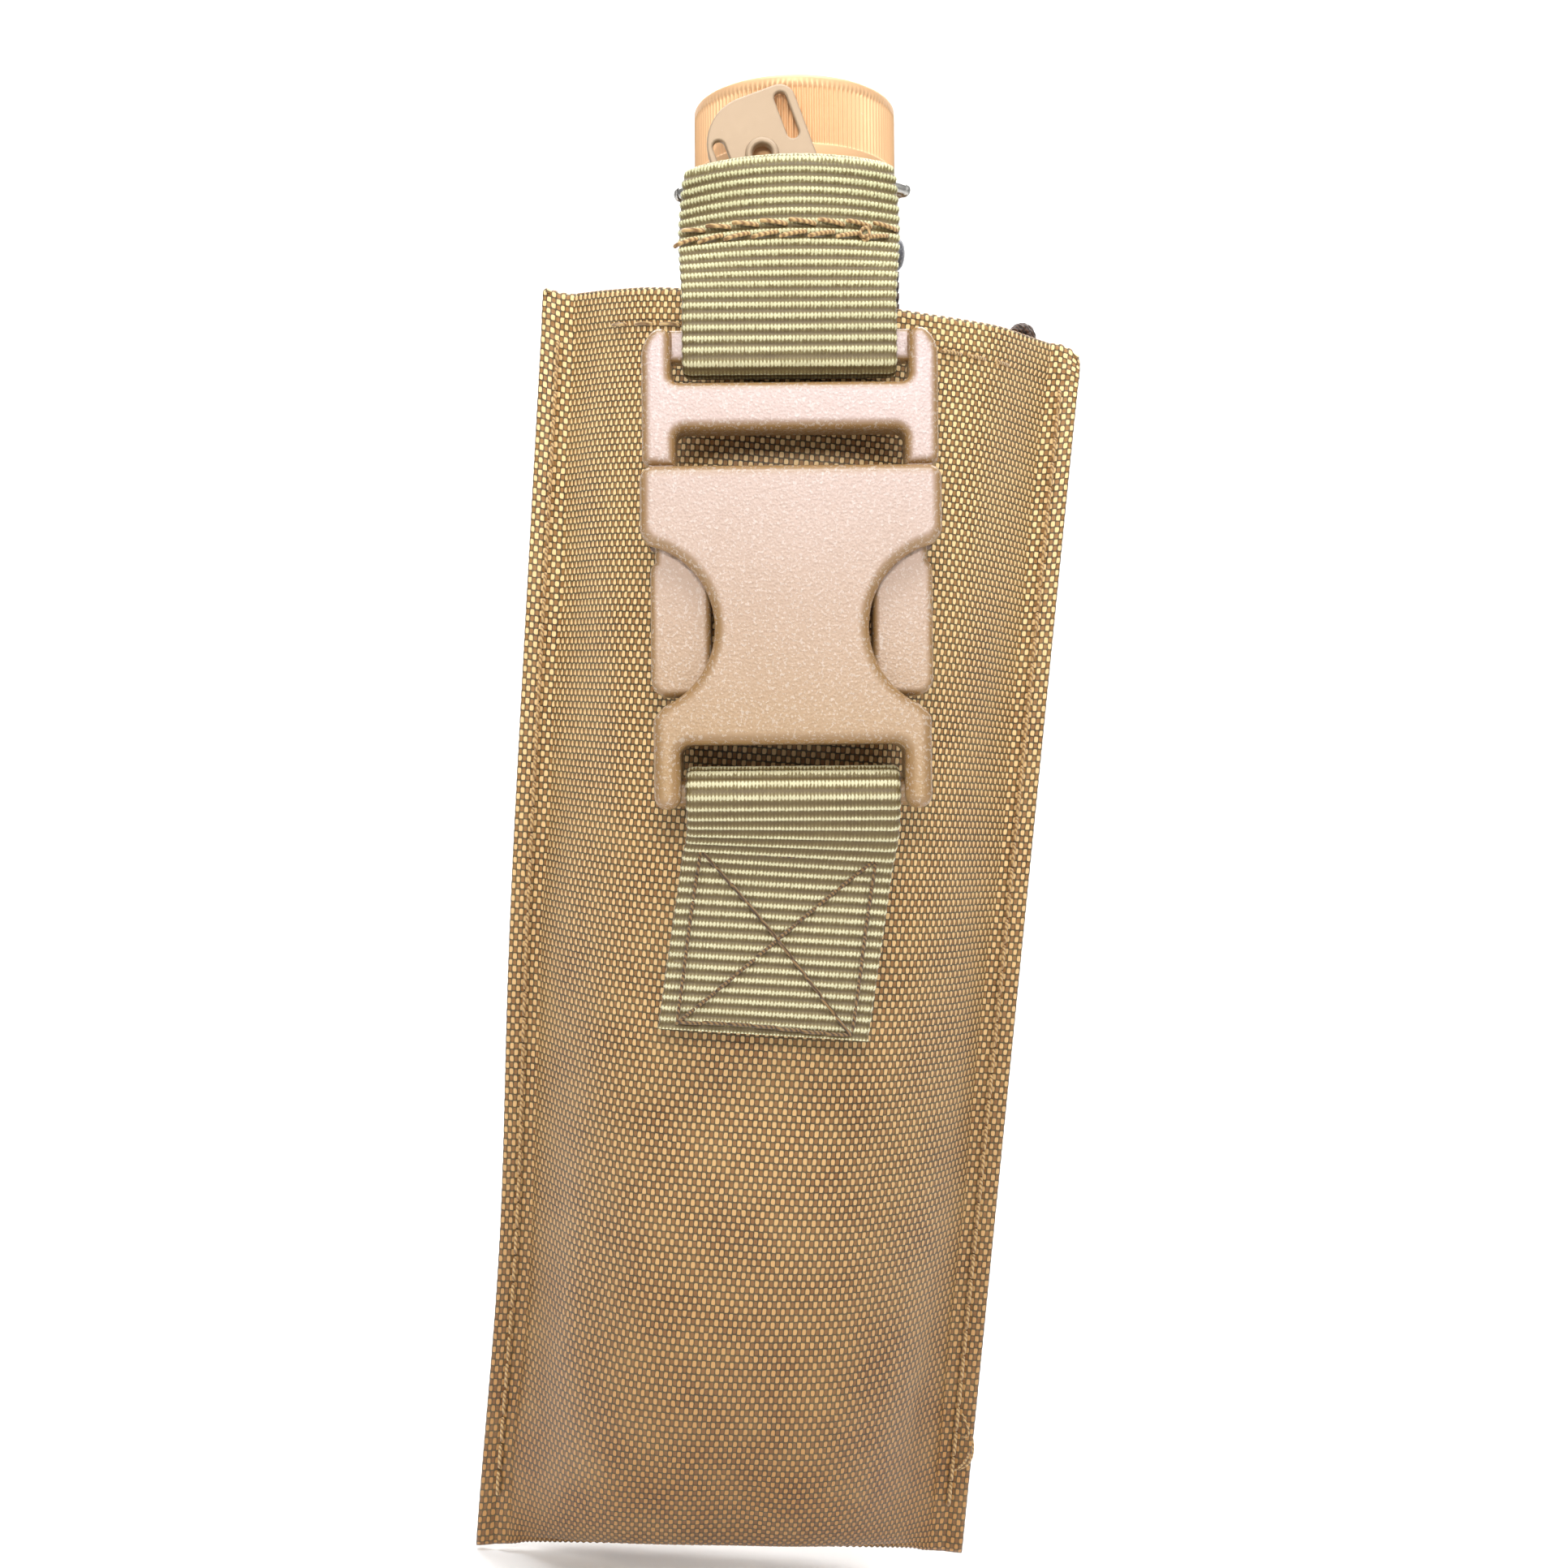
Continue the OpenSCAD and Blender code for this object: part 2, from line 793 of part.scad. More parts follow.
module led_emitter() {
  color("gold")
    in_light() {
      block([-1.75, -1.75, board_bottom - 0.8], [1.75, 1.75, board_bottom]);
      disc(1.3, board_bottom - 1.5, board_bottom - 0.5);
    }
}

module led_centering_ring() {
  color("white")
    in_light()
      ring(8, 2.8, reflector_top, board_bottom - gap);
}

module led_board() {
  color("white")
    in_light()
      disc(9, board_bottom, board_top - gap);
}

module heat_sink_pill() {
  hub_r = bore_r - 0.1;
  wall = 0.7;
  color("darkgoldenrod")
    in_light()
      difference() {
        union() {
          disc(lens_r, board_top, pill_top - gap);
          disc(hub_r, board_top, pill_top + 6);
        }
        disc(hub_r - wall, pill_top + 1.5, pill_top + 6 + past);
      }
}

module driver_board() {
  color("green")
    in_light() {
      disc(7.85, pill_top + 4.4, pill_top + 6);
      block([-3, -2.2, pill_top + 2.4], [3, 2.2, pill_top + 4.5]);
    }
}

module driver_spring() {
  color("gold")
    in_light()
      coil(3, 0.45, 3, pill_top + 6 + gap, battery_bottom - gap);
}

module battery_cells() {
  nub = 0.8;
  color("steelblue")
    in_light()
      for (i = [0 : cell_count - 1])
        translate([0, 0, battery_bottom + i * cell_length]) {
          cylinder(r = 3, h = nub + past);
          translate([0, 0, nub])
            cylinder(r = cell_r, h = cell_length - nub - gap);
        }
}

module head_o_ring() {
  color("black")
    in_light()
      o_ring(10.62, 0.4, pill_top + 4);
}

module switch_housing() {
  outer = 12.9;
  lip = 13.3;
  color("gray")
    in_light()
      difference() {
        union() {
          block([switch_face + gap, -pocket_half + gap, pocket_bottom + gap],
                [outer, pocket_half - gap, pocket_top - gap]);
          block([outer - past, -pocket_half + gap, pocket_bottom + 0.6],
                [lip, pocket_half - gap, pad_bottom - 0.4]);
        }
        side_rod(button_r + running, switch_face - past, outer + past, 0, button_z);
        block([switch_face - past, -pad_half - running, pad_bottom - running],
              [lip + past, pad_half + running, pad_top + running]);
      }
}

module switch_board() {
  color("green")
    in_light()
      block([pocket_floor + gap, -3.6, pocket_bottom + 0.5], [board_face, 3.6, pocket_top - 0.5]);
}

module tact_switches() {
  half = 1.3;
  color("silver")
    in_light()
      for (z = [button_z, (pad_bottom + pad_top) / 2])
        block([board_face + 0.01, -half, z - half], [switch_face, half, z + half]);
}

module power_button() {
  inner = switch_face + gap + button_travel;
  dome = 1.1;
  steps = 8;
  color("gray")
    in_light()
      translate([0, 0, button_z])
        rotate([0, 90, 0])
          rotate_extrude()
            polygon(concat(
              [[0, inner], [button_r, inner]],
              [for (i = [0 : steps])
                let (turn = 90 * i / steps)
                  [button_r * cos(turn), button_out - dome * (1 - sin(turn))]]));
}

module mode_pad() {
  inner = switch_face + gap + pad_travel;
  ridge = 0.5;
  color("saddlebrown")
    in_light() {
      block([inner, -pad_half, pad_bottom], [pad_out - ridge, pad_half, pad_top]);
      for (z = [pad_bottom + 0.5 : 1.4 : pad_top - 0.6])
        block([pad_out - ridge - 0.1, -pad_half, z], [pad_out, pad_half, z + 0.7]);
    }
}

// A spacer that seats on the round tube and gives the clip a flat face to turn on.
// The saddle is thin, so its curved seat is drawn with a finer circle than the rest.
module clip_saddle() {
  seat_sides = 360;
  color("dimgray")
    in_light()
      difference() {
        forward_rod(4, tube_r - 1.5, clip_inner - gap, 0, clip_z);
        disc(tube_r + gap, clip_z - 8, clip_z + 8, $fn = seat_sides);
        forward_rod(pivot_r + running, 0, clip_inner + past, 0, clip_z);
      }
}

module clip_pivot_screw() {
  head_bottom = clip_inner + clip_thickness + gap;
  head_height = 1.1;
  color("silver")
    in_light()
      difference() {
        union() {
          forward_rod(pivot_r, 10.7, head_bottom + 0.1, 0, clip_z);
          forward_rod(3, head_bottom, head_bottom + head_height, 0, clip_z);
        }
        facing(head_bottom + head_height, 1.4)
          translate([0, clip_z])
            circle(1.2, $fn = 6);
      }
}

// The clip plate about its pivot, before it is tilted.
module clip_outline() {
  half = clip_width / 2;
  big = 6;
  small = 2;
  circle(clip_boss_r);
  translate([-half, 4])
    square([clip_width, clip_length - big - 4]);
  polygon([[-clip_boss_r, 0], [clip_boss_r, 0], [half, 4], [-half, 4]]);
  translate([-half + big, clip_length - big])
    circle(big);
  translate([-half + big, clip_length - big - past])
    square([clip_width - big, big - small + past]);
  translate([-half + big, clip_length - small - past])
    square([clip_width - big - small, small + past]);
  translate([half - small, clip_length - small])
    circle(small);
}

module clip_slot(x, z) {
  slot_half = 0.75;
  reach = 2.25;
  translate([x - slot_half, z - reach])
    square([2 * slot_half, 2 * reach]);
  for (side = [-1, 1])
    translate([x, z + side * reach])
      circle(slot_half);
}

module belt_clip() {
  middle = clip_inner + clip_thickness / 2;
  hole_r = 1.2;
  hole_z = 12;
  rim = 0.4;
  color("rosybrown")
    in_light()
      translate([0, 0, clip_z])
        rotate([0, -clip_tilt, 0])
          difference() {
            union() {
              facing(middle, clip_thickness)
                clip_outline();
              forward_rod(hole_r + 0.8, middle, clip_inner + clip_thickness + rim, 0, hole_z);
            }
            facing(middle, clip_thickness + past) {
              circle(pivot_r + running);
              clip_slot(4.5, 15.5);
              clip_slot(-4.7, 12.5);
            }
            forward_rod(hole_r, 0, clip_inner + 2 * clip_thickness + rim, 0, hole_z);
          }
}

// A bent wire: an arc in front of the tube and two legs that run into the tube's wall.
module strap_bail() {
  knuckle = 0.08;
  color("silver")
    in_light()
      translate([0, 0, bail_z]) {
        rotate([0, 0, -90 - bail_left])
          rotate_extrude(angle = bail_left + bail_right)
            translate([bail_bend, 0])
              circle(bail_r, $fn = 24);
        for (turn = [bail_right, -bail_left])
          rotate([0, 0, turn]) {
            forward_rod(bail_r, bail_end_r, bail_bend, 0, 0);
            translate([0, -bail_bend, 0])
              sphere(bail_r + knuckle);
          }
      }
}

module tail_cap() {
  band_top = cap_bottom + 1.4;
  rim_bottom = cap_top - 1.1;
  flute_depth = 0.35;
  color("tan")
    in_light()
      difference() {
        union() {
          disc(cap_r, cap_bottom, band_top);
          translate([0, 0, band_top])
            linear_extrude(rim_bottom - band_top)
              polygon([for (i = [0 : 2 * cap_flutes - 1])
                let (r = cap_r - 0.1 - (i % 2) * flute_depth, turn = 180 * i / cap_flutes)
                  [r * cos(turn), r * sin(turn)]]);
          disc(cap_r - 0.2, rim_bottom, cap_top);
          disc(cap_neck_r, cap_neck_bottom, cap_bottom + past);
        }
        disc(cap_cavity_r, cap_neck_bottom - past, cap_cavity_top);
        ring(cap_neck_r + past, 8.9, 167.5, 168.6);
      }
}

module tail_o_ring() {
  color("black")
    in_light()
      o_ring(9.26, 0.34, 168.05);
}

module tail_contact_plate() {
  color("gold")
    in_light()
      disc(cap_cavity_r - gap, cap_cavity_top - 0.9, cap_cavity_top - gap);
}

module tail_spring() {
  color("silver")
    in_light()
      coil(6.2, 0.55, 4, battery_top + gap, cap_cavity_top - 0.9 - gap);
}

pouch_shell();
side_seam_stitching();
mouth_hem_stitching();
lower_webbing_tab();
box_stitching();
belt_loop();
belt_loop_stitching();
cord_loop();
buckle_socket();
retention_strap();
strap_stitching();
buckle_plug_frame();
buckle_arm_left();
buckle_arm_right();
body_tube();
head_shell();
bezel_ring();
lens_window();
lens_gasket();
reflector();
led_emitter();
led_centering_ring();
led_board();
heat_sink_pill();
driver_board();
driver_spring();
battery_cells();
head_o_ring();
switch_housing();
switch_board();
tact_switches();
power_button();
mode_pad();
clip_saddle();
clip_pivot_screw();
belt_clip();
strap_bail();
tail_cap();
tail_o_ring();
tail_contact_plate();
tail_spring();
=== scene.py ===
import json
import math

import bpy
import numpy as np
from mathutils import Matrix, Vector, noise

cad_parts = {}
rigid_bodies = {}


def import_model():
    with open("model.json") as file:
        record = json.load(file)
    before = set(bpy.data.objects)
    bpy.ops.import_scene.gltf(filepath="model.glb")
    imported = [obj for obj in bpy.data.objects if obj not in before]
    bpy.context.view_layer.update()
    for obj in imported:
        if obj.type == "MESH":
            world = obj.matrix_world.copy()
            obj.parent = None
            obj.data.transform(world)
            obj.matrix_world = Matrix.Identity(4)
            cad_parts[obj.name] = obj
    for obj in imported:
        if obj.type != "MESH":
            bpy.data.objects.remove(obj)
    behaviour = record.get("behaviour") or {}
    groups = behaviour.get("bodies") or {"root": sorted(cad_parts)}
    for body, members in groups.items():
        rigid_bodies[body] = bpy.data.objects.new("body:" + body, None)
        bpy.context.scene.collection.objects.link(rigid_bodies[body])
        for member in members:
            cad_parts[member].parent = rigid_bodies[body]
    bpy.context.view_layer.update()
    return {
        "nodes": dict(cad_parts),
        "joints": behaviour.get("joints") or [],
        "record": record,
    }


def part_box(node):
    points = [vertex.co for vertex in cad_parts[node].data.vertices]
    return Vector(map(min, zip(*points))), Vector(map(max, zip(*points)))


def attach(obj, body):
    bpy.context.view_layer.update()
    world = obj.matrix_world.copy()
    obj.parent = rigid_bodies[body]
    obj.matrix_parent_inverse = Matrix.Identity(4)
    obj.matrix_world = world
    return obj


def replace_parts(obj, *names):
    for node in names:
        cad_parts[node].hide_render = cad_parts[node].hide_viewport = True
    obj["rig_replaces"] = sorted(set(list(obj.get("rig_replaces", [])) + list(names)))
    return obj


for spare in list(bpy.data.objects):
    bpy.data.objects.remove(spare)
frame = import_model()

MM = 0.001
JOINTS = {j["name"]: j for j in frame["joints"]}

# ---------------------------------------------------------------- sizes, millimetres
SHELL_LOW, SHELL_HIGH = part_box("pouch_shell")
LOOP_LOW, LOOP_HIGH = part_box("belt_loop")
FOLD_LOW = 4.2
FOLD_TILT = 1.8
DATUM_Z = SHELL_LOW.z / MM + FOLD_LOW + FOLD_TILT
POUCH_HEIGHT = SHELL_HIGH.z / MM - DATUM_Z + FOLD_LOW
MOUTH_WIDTH = (SHELL_HIGH.x - SHELL_LOW.x) / MM
BOTTOM_WIDTH = MOUTH_WIDTH - 7.3
FLANGE = 4.2
FABRIC = 1.2
MOUTH_DROP = 2.4
MOUTH_DIP = 4.4
BOTTOM_ROUND = 26
FRONT_POWER = 3
BACK_POWER = 5
FRONT_Y = SHELL_LOW.y / MM
BACK_Y = SHELL_HIGH.y / MM
WEAVE_STEP = 1.18
WEAVE_ROW = 0.85
RIB = 1.3
WEBBING = 1.6
STRAP_WIDTH = 25.4
STITCH = 3.5
HEM = 4.6


# ---------------------------------------------------------------- places
class Leaning:
    """A frame that leans with the flashlight: x across, d forward, z up, in millimetres."""

    def __init__(self, origin, axis, height):
        self.up = Vector(axis).normalized()
        self.side = Vector((self.up.z, 0, -self.up.x))
        self.origin = Vector(origin) / MM
        self.height = height

    def place(self, x, d, z):
        x, d, z = np.broadcast_arrays(x, d, z)
        p = (np.array(self.origin) + x[..., None] * np.array(self.side)
             + (z[..., None] - self.height) * np.array(self.up))
        p[..., 1] -= d
        return p


DRAW = JOINTS["flashlight_draw"]["axis"]
LEFT_PIVOT = Vector(JOINTS["arm_left_press"]["pos_m"])
RIGHT_PIVOT = Vector(JOINTS["arm_right_press"]["pos_m"])
CAP_PIVOT = Vector(JOINTS["tail_cap_turn"]["pos_m"])
AXIS_Y = CAP_PIVOT.y
HARDWARE = (AXIS_Y - LEFT_PIVOT.y) / MM
PIVOT_Z = 131
ARM_X = 14.7
CAP_PIVOT_Z = 178
BUCKLE_ORIGIN = (LEFT_PIVOT + RIGHT_PIVOT) / 2
BUCKLE = Leaning((BUCKLE_ORIGIN.x, AXIS_Y, BUCKLE_ORIGIN.z), DRAW, PIVOT_Z)
LIGHT = Leaning(CAP_PIVOT, DRAW, CAP_PIVOT_Z)


def smooth_step(low, high, x):
    t = np.clip((np.asarray(x, float) - low) / (high - low), 0, 1)
    return t * t * (3 - 2 * t)


def mix(a, b, t):
    return a + (b - a) * t


def unit(v):
    """Vectors of length 1, along the last axis."""
    return v / np.maximum(np.linalg.norm(v, axis=-1, keepdims=True), 1e-9)


def lengths_along(p):
    """How far along a line of points each point lies."""
    return np.concatenate([[0], np.cumsum(np.linalg.norm(np.diff(p, axis=0), axis=1))])


def pairs(a, b):
    """A grid of all pairs of two rows of values."""
    return np.stack(np.meshgrid(a, b, indexing="ij"), -1)


# ---------------------------------------------------------------- meshes
def linked(name, data):
    obj = bpy.data.objects.new(name, data)
    bpy.context.scene.collection.objects.link(obj)
    return obj


def mesh_object(name, points, faces, uvs=None, smooth=True):
    """An object from points in millimetres, four-cornered faces and face-corner UVs."""
    points = np.asarray(points, np.float64).reshape(-1, 3) * MM
    faces = np.asarray(faces, np.int32).reshape(-1, 4)
    mesh = bpy.data.meshes.new(name)
    mesh.vertices.add(len(points))
    mesh.vertices.foreach_set("co", points.astype(np.float32).ravel())
    mesh.loops.add(faces.size)
    mesh.loops.foreach_set("vertex_index", faces.ravel())
    mesh.polygons.add(len(faces))
    mesh.polygons.foreach_set("loop_start", np.arange(0, faces.size, 4, dtype=np.int32))
    mesh.polygons.foreach_set("use_smooth", np.full(len(faces), smooth))
    if uvs is not None:
        layer = mesh.uv_layers.new(name="UVMap")
        layer.uv.foreach_set("vector", np.asarray(uvs, np.float32).ravel())
    mesh.update(calc_edges=True)
    mesh.validate()
    return linked(name, mesh)


def grid_faces(rows, cols, wrap_rows=False, wrap_cols=False):
    """Corner indices of a grid's faces, and the unwrapped indices that its UVs use."""
    i = np.arange(rows if wrap_rows else rows - 1)
    j = np.arange(cols if wrap_cols else cols - 1)
    i, j = np.meshgrid(i, j, indexing="ij")
    near, far = i * cols, ((i + 1) % rows) * cols
    right = (j + 1) % cols
    faces = np.stack([near + j, near + right, far + right, far + j], -1).reshape(-1, 4)
    wide = cols + 1 if wrap_cols else cols
    corners = np.stack([i * wide + j, i * wide + j + 1,
                        (i + 1) * wide + j + 1, (i + 1) * wide + j], -1).reshape(-1, 4)
    return faces, corners


def surface_normals(p, wrap_rows=False, wrap_cols=False):
    """Unit normals of a grid of points, from its neighbours along both ways."""
    def slope(axis, wrap):
        if wrap:
            return np.roll(p, -1, axis) - np.roll(p, 1, axis)
        return np.gradient(p, axis=axis)
    return unit(np.cross(slope(1, wrap_cols), slope(0, wrap_rows)))


def coordinates(obj):
    p = np.empty(len(obj.data.vertices) * 3, np.float32)
    obj.data.vertices.foreach_get("co", p)
    return p.reshape(-1, 3).astype(float)


def put_coordinates(obj, p):
    obj.data.vertices.foreach_set("co", np.asarray(p, np.float32).ravel())
    obj.data.update()


class Build:
    """Gathers grids of points, and makes one object of them."""

    def __init__(self):
        self.points, self.faces, self.uvs, self.count = [], [], [], 0

    def grid(self, p, uv, wrap_rows=False, wrap_cols=False, flip=False):
        """uv has one more row or column than p where the grid wraps."""
        faces, corners = grid_faces(p.shape[0], p.shape[1], wrap_rows, wrap_cols)
        if flip:
            faces, corners = faces[:, ::-1], corners[:, ::-1]
        self.points.append(p.reshape(-1, 3))
        self.faces.append(faces + self.count)
        self.uvs.append(np.asarray(uv, float).reshape(-1, 2)[corners].reshape(-1, 2))
        self.count += p.shape[0] * p.shape[1]

    def tube(self, path, radius, sides=10, ends=True):
        """A round tube along a path, with rounded ends; radius may vary along it."""
        path = np.asarray(path, float)
        radius = np.broadcast_to(np.asarray(radius, float), len(path)).copy()
        if ends:
            turn = np.array([0.0, 0.45, 0.8])[:, None]
            first, last = unit(path[0] - path[1]), unit(path[-1] - path[-2])
            reach = np.cos(turn * math.pi / 2)
            path = np.concatenate([path[0] + first * radius[0] * reach, path,
                                   path[-1] + last * radius[-1] * reach[::-1]])
            grow = np.sin(np.array([0.0, 0.45, 0.8]) * math.pi / 2)
            radius = np.concatenate([radius[0] * grow, radius, radius[-1] * grow[::-1]])
        along = unit(np.gradient(path, axis=0))
        guide = np.array([0.31, 0.95, 0.05])
        side = unit(np.cross(along, guide))
        lift = np.cross(along, side)
        turn = np.linspace(0, 2 * math.pi, sides, endpoint=False)
        p = path[:, None] + radius[:, None, None] * (
            np.cos(turn)[None, :, None] * side[:, None] + np.sin(turn)[None, :, None] * lift[:, None])
        self.grid(p, pairs(lengths_along(path), np.linspace(0, 2, sides + 1)), wrap_cols=True)

    def make(self, name, smooth=True):
        return mesh_object(name, np.concatenate(self.points), np.concatenate(self.faces),
                           np.concatenate(self.uvs), smooth)


def gentle(x, z, scale, seed):
    """Slow, repeatable unevenness between about -1 and 1."""
    flat = [noise.noise(Vector((a / scale, b / scale, seed)))
            for a, b in zip(np.ravel(x), np.ravel(z))]
    return np.array(flat).reshape(np.shape(x)) * 2


# ---------------------------------------------------------------- material nodes
def srgb(r, g, b):
    def linear(c):
        return c / 12.92 if c <= 0.04045 else ((c + 0.055) / 1.055) ** 2.4
    return (linear(r), linear(g), linear(b), 1)


class Nodes:
    """A short way to write a node tree: every call adds one node and returns its output."""

    def __init__(self, name):
        self.material = bpy.data.materials.new(name)
        self.material.use_nodes = True
        self.tree = self.material.node_tree
        self.shader = self.tree.nodes["Principled BSDF"]

    def put(self, socket, value):
        if isinstance(value, bpy.types.NodeSocket):
            self.tree.links.new(value, socket)
        else:
            socket.default_value = value

    def node(self, kind, inputs, output=0, **settings):
        made = self.tree.nodes.new(kind)
        for key, value in settings.items():
            setattr(made, key, value)
        for key, value in inputs.items():
            self.put(made.inputs[key], value)
        return made.outputs[output]

    def math(self, operation, a, b=0.0, c=0.0, clamp=False):
        return self.node("ShaderNodeMath", {0: a, 1: b, 2: c}, operation=operation, use_clamp=clamp)

    def mix(self, factor, a, b, blend="MIX"):
        return self.node("ShaderNodeMix", {0: factor, 6: a, 7: b}, 2, data_type="RGBA", blend_type=blend)

    def ramp(self, factor, stops):
        made = self.tree.nodes.new("ShaderNodeValToRGB")
        self.put(made.inputs[0], factor)
        band = made.color_ramp
        while len(band.elements) < len(stops):
            band.elements.new(0.5)
        for element, (at, colour) in zip(band.elements, stops):
            element.position = at
            element.color = colour
        return made.outputs[0]

    def noise(self, place, scale, detail=3.0, rough=0.6):
        return self.node("ShaderNodeTexNoise", {"Vector": place, "Scale": scale, "Detail": detail,
                                                "Roughness": rough})

    def place(self):
        return self.node("ShaderNodeTexCoord", {}, 3)

    def stretched(self, place, x, y, z):
        return self.node("ShaderNodeVectorMath", {0: place, 1: (x, y, z)}, operation="MULTIPLY")

    def bump(self, height, distance, strength=1.0, normal=None):
        inputs = {"Height": height, "Distance": distance, "Strength": strength}
        if normal is not None:
            inputs["Normal"] = normal
        return self.node("ShaderNodeBump", inputs)

    def finish(self, **sockets):
        for key, value in sockets.items():
            self.put(self.shader.inputs[key.replace("_", " ")], value)
        return self.material


def parts(n, vector):
    """The three parts of a vector."""
    split = n.tree.nodes.new("ShaderNodeSeparateXYZ")
    n.put(split.inputs[0], vector)
    return split.outputs[0], split.outputs[1], split.outputs[2]


def uv_parts(n):
    uv = n.node("ShaderNodeUVMap", {}, uv_map="UVMap")
    u, v, _ = parts(n, uv)
    return uv, u, v


def wave(n, value, period):
    """A wave between 0 and 1 along a length in millimetres."""
    turn = n.math("MULTIPLY", value, 2 * math.pi / period)
    return n.math("MULTIPLY_ADD", n.math("COSINE", turn), 0.5, 0.5)


def height_share(n, low, high):
    """0 at one height of the row frame and 1 at another."""
    _, _, z = parts(n, n.place())
    return n.node("ShaderNodeMapRange", {"Value": z, "From Min": low, "From Max": high})


def weave_material(name, light, middle, dark):
    """Plain weave: raised floats in a checkerboard with a painted highlight, lower crossing floats, and
    painted shade in the gaps between them.
    """
    n = Nodes(name)
    uv, u, v = uv_parts(n)
    slow = n.noise(uv, 0.12, 2.0)
    tone = n.noise(n.place(), 45.0, 3.0)
    across = n.math("COSINE", n.math("MULTIPLY", u, 2 * math.pi / WEAVE_STEP))
    up = n.math("COSINE", n.math("MULTIPLY", v, math.pi / WEAVE_ROW))
    cell = n.math("MULTIPLY_ADD", n.math("MULTIPLY", across, up), 0.5, 0.5)
    fibre_up = n.noise(n.stretched(uv, 12.0, 1.8, 1.0), 1.0, 2.0)
    fibre_across = n.noise(n.stretched(uv, 1.8, 12.0, 1.0), 1.0, 2.0)
    wobble = n.math("MULTIPLY_ADD", n.noise(uv, 1.0, 2.0), 0.34, -0.17)
    share = n.math("ADD", cell, wobble, clamp=True)
    thread = n.mix(share, fibre_across, fibre_up)
    # Painted light: the light tone is a painted highlight on the raised floats, and the dark tone is painted
    # shade in the gaps between them.
    colour = n.ramp(share, [(0.0, middle), (0.24, middle), (0.42, dark), (0.54, dark), (0.66, light)])
    colour = n.mix(0.35, colour, thread, "OVERLAY")
    colour = n.mix(n.math("MULTIPLY", tone, 0.30), colour, srgb(0.70, 0.50, 0.26), "MULTIPLY")
    # Painted light falloff: the cloth is multiplied darker towards the bottom.
    low = n.mix(height_share(n, -0.09, 0.03), srgb(0.70, 0.57, 0.42), (1, 1, 1, 1))
    colour = n.mix(1.0, colour, low, "MULTIPLY")
    colour = n.mix(n.math("MULTIPLY", slow, 0.16), colour, srgb(0.98, 0.86, 0.60))
    rough = n.math("MULTIPLY_ADD", thread, 0.25, 0.32)
    return n.finish(Base_Color=colour, Roughness=rough, Normal=n.bump(thread, 0.00006, 0.7),
                    Sheen_Weight=0.04, Sheen_Roughness=0.4, Specular_IOR_Level=0.4)


def webbing_material(name, rib, groove, painted_groove_shade_and_fleck):
    """Ribbed webbing: beaded ribs across it with a painted highlight on their crowns, and grooves between
    them with painted shade at their bottoms.
    """
    n = Nodes(name)
    uv, u, v = uv_parts(n)
    speck = n.noise(uv, 2.4, 3.0)
    slow = n.noise(uv, 0.22, 2.0)
    ridge = wave(n, n.math("MULTIPLY_ADD", speck, 0.22, v), RIB)
    bead = wave(n, n.math("MULTIPLY_ADD", speck, 0.25, u), 0.43)
    warp = wave(n, u, 1.5)
    edge = n.math("MULTIPLY_ADD", bead, -0.40, ridge)
    edge = n.math("MULTIPLY_ADD", warp, 0.05, edge)
    edge = n.math("MULTIPLY_ADD", n.math("SUBTRACT", speck, 0.5), 0.70, edge, clamp=True)
    # Painted light: the rib tone is a painted highlight on the crowns, and the last tone is painted shade at
    # the groove bottoms; below, that last tone also darkens random flecks.
    colour = n.ramp(edge, [(0.0, painted_groove_shade_and_fleck), (0.26, groove), (0.52, groove), (0.70, rib), (1.0, rib)])
    green = n.mix(height_share(n, 0.035, 0.075), (1, 1, 1, 1), srgb(0.95, 0.97, 0.92))
    colour = n.mix(1.0, colour, green, "MULTIPLY")
    colour = n.mix(n.math("MULTIPLY", slow, 0.5), colour, groove)
    colour = n.mix(n.math("MULTIPLY", speck, 0.25), colour, painted_groove_shade_and_fleck, "MULTIPLY")
    height = n.math("MULTIPLY_ADD", n.math("MULTIPLY", bead, ridge), 0.7, speck)
    return n.finish(Base_Color=colour, Roughness=0.5, Normal=n.bump(height, 0.00014, 0.8),
                    Sheen_Weight=0.15, Sheen_Roughness=0.4)


def thread_material(name, light, dark):
    """Twisted thread: slanted strands round each stitch."""
    n = Nodes(name)
    place = n.place()
    strand = n.node("ShaderNodeTexWave", {"Vector": place, "Scale": 900.0, "Distortion": 1.5,
                                          "Detail": 2.0}, bands_direction="DIAGONAL")
    tone = n.noise(place, 160.0, 3.0)
    colour = n.mix(strand, dark, light)
    colour = n.mix(n.math("MULTIPLY", tone, 0.5), colour, dark)
    return n.finish(Base_Color=colour, Roughness=0.5, Normal=n.bump(strand, 0.00008, 0.8), Sheen_Weight=0.3)


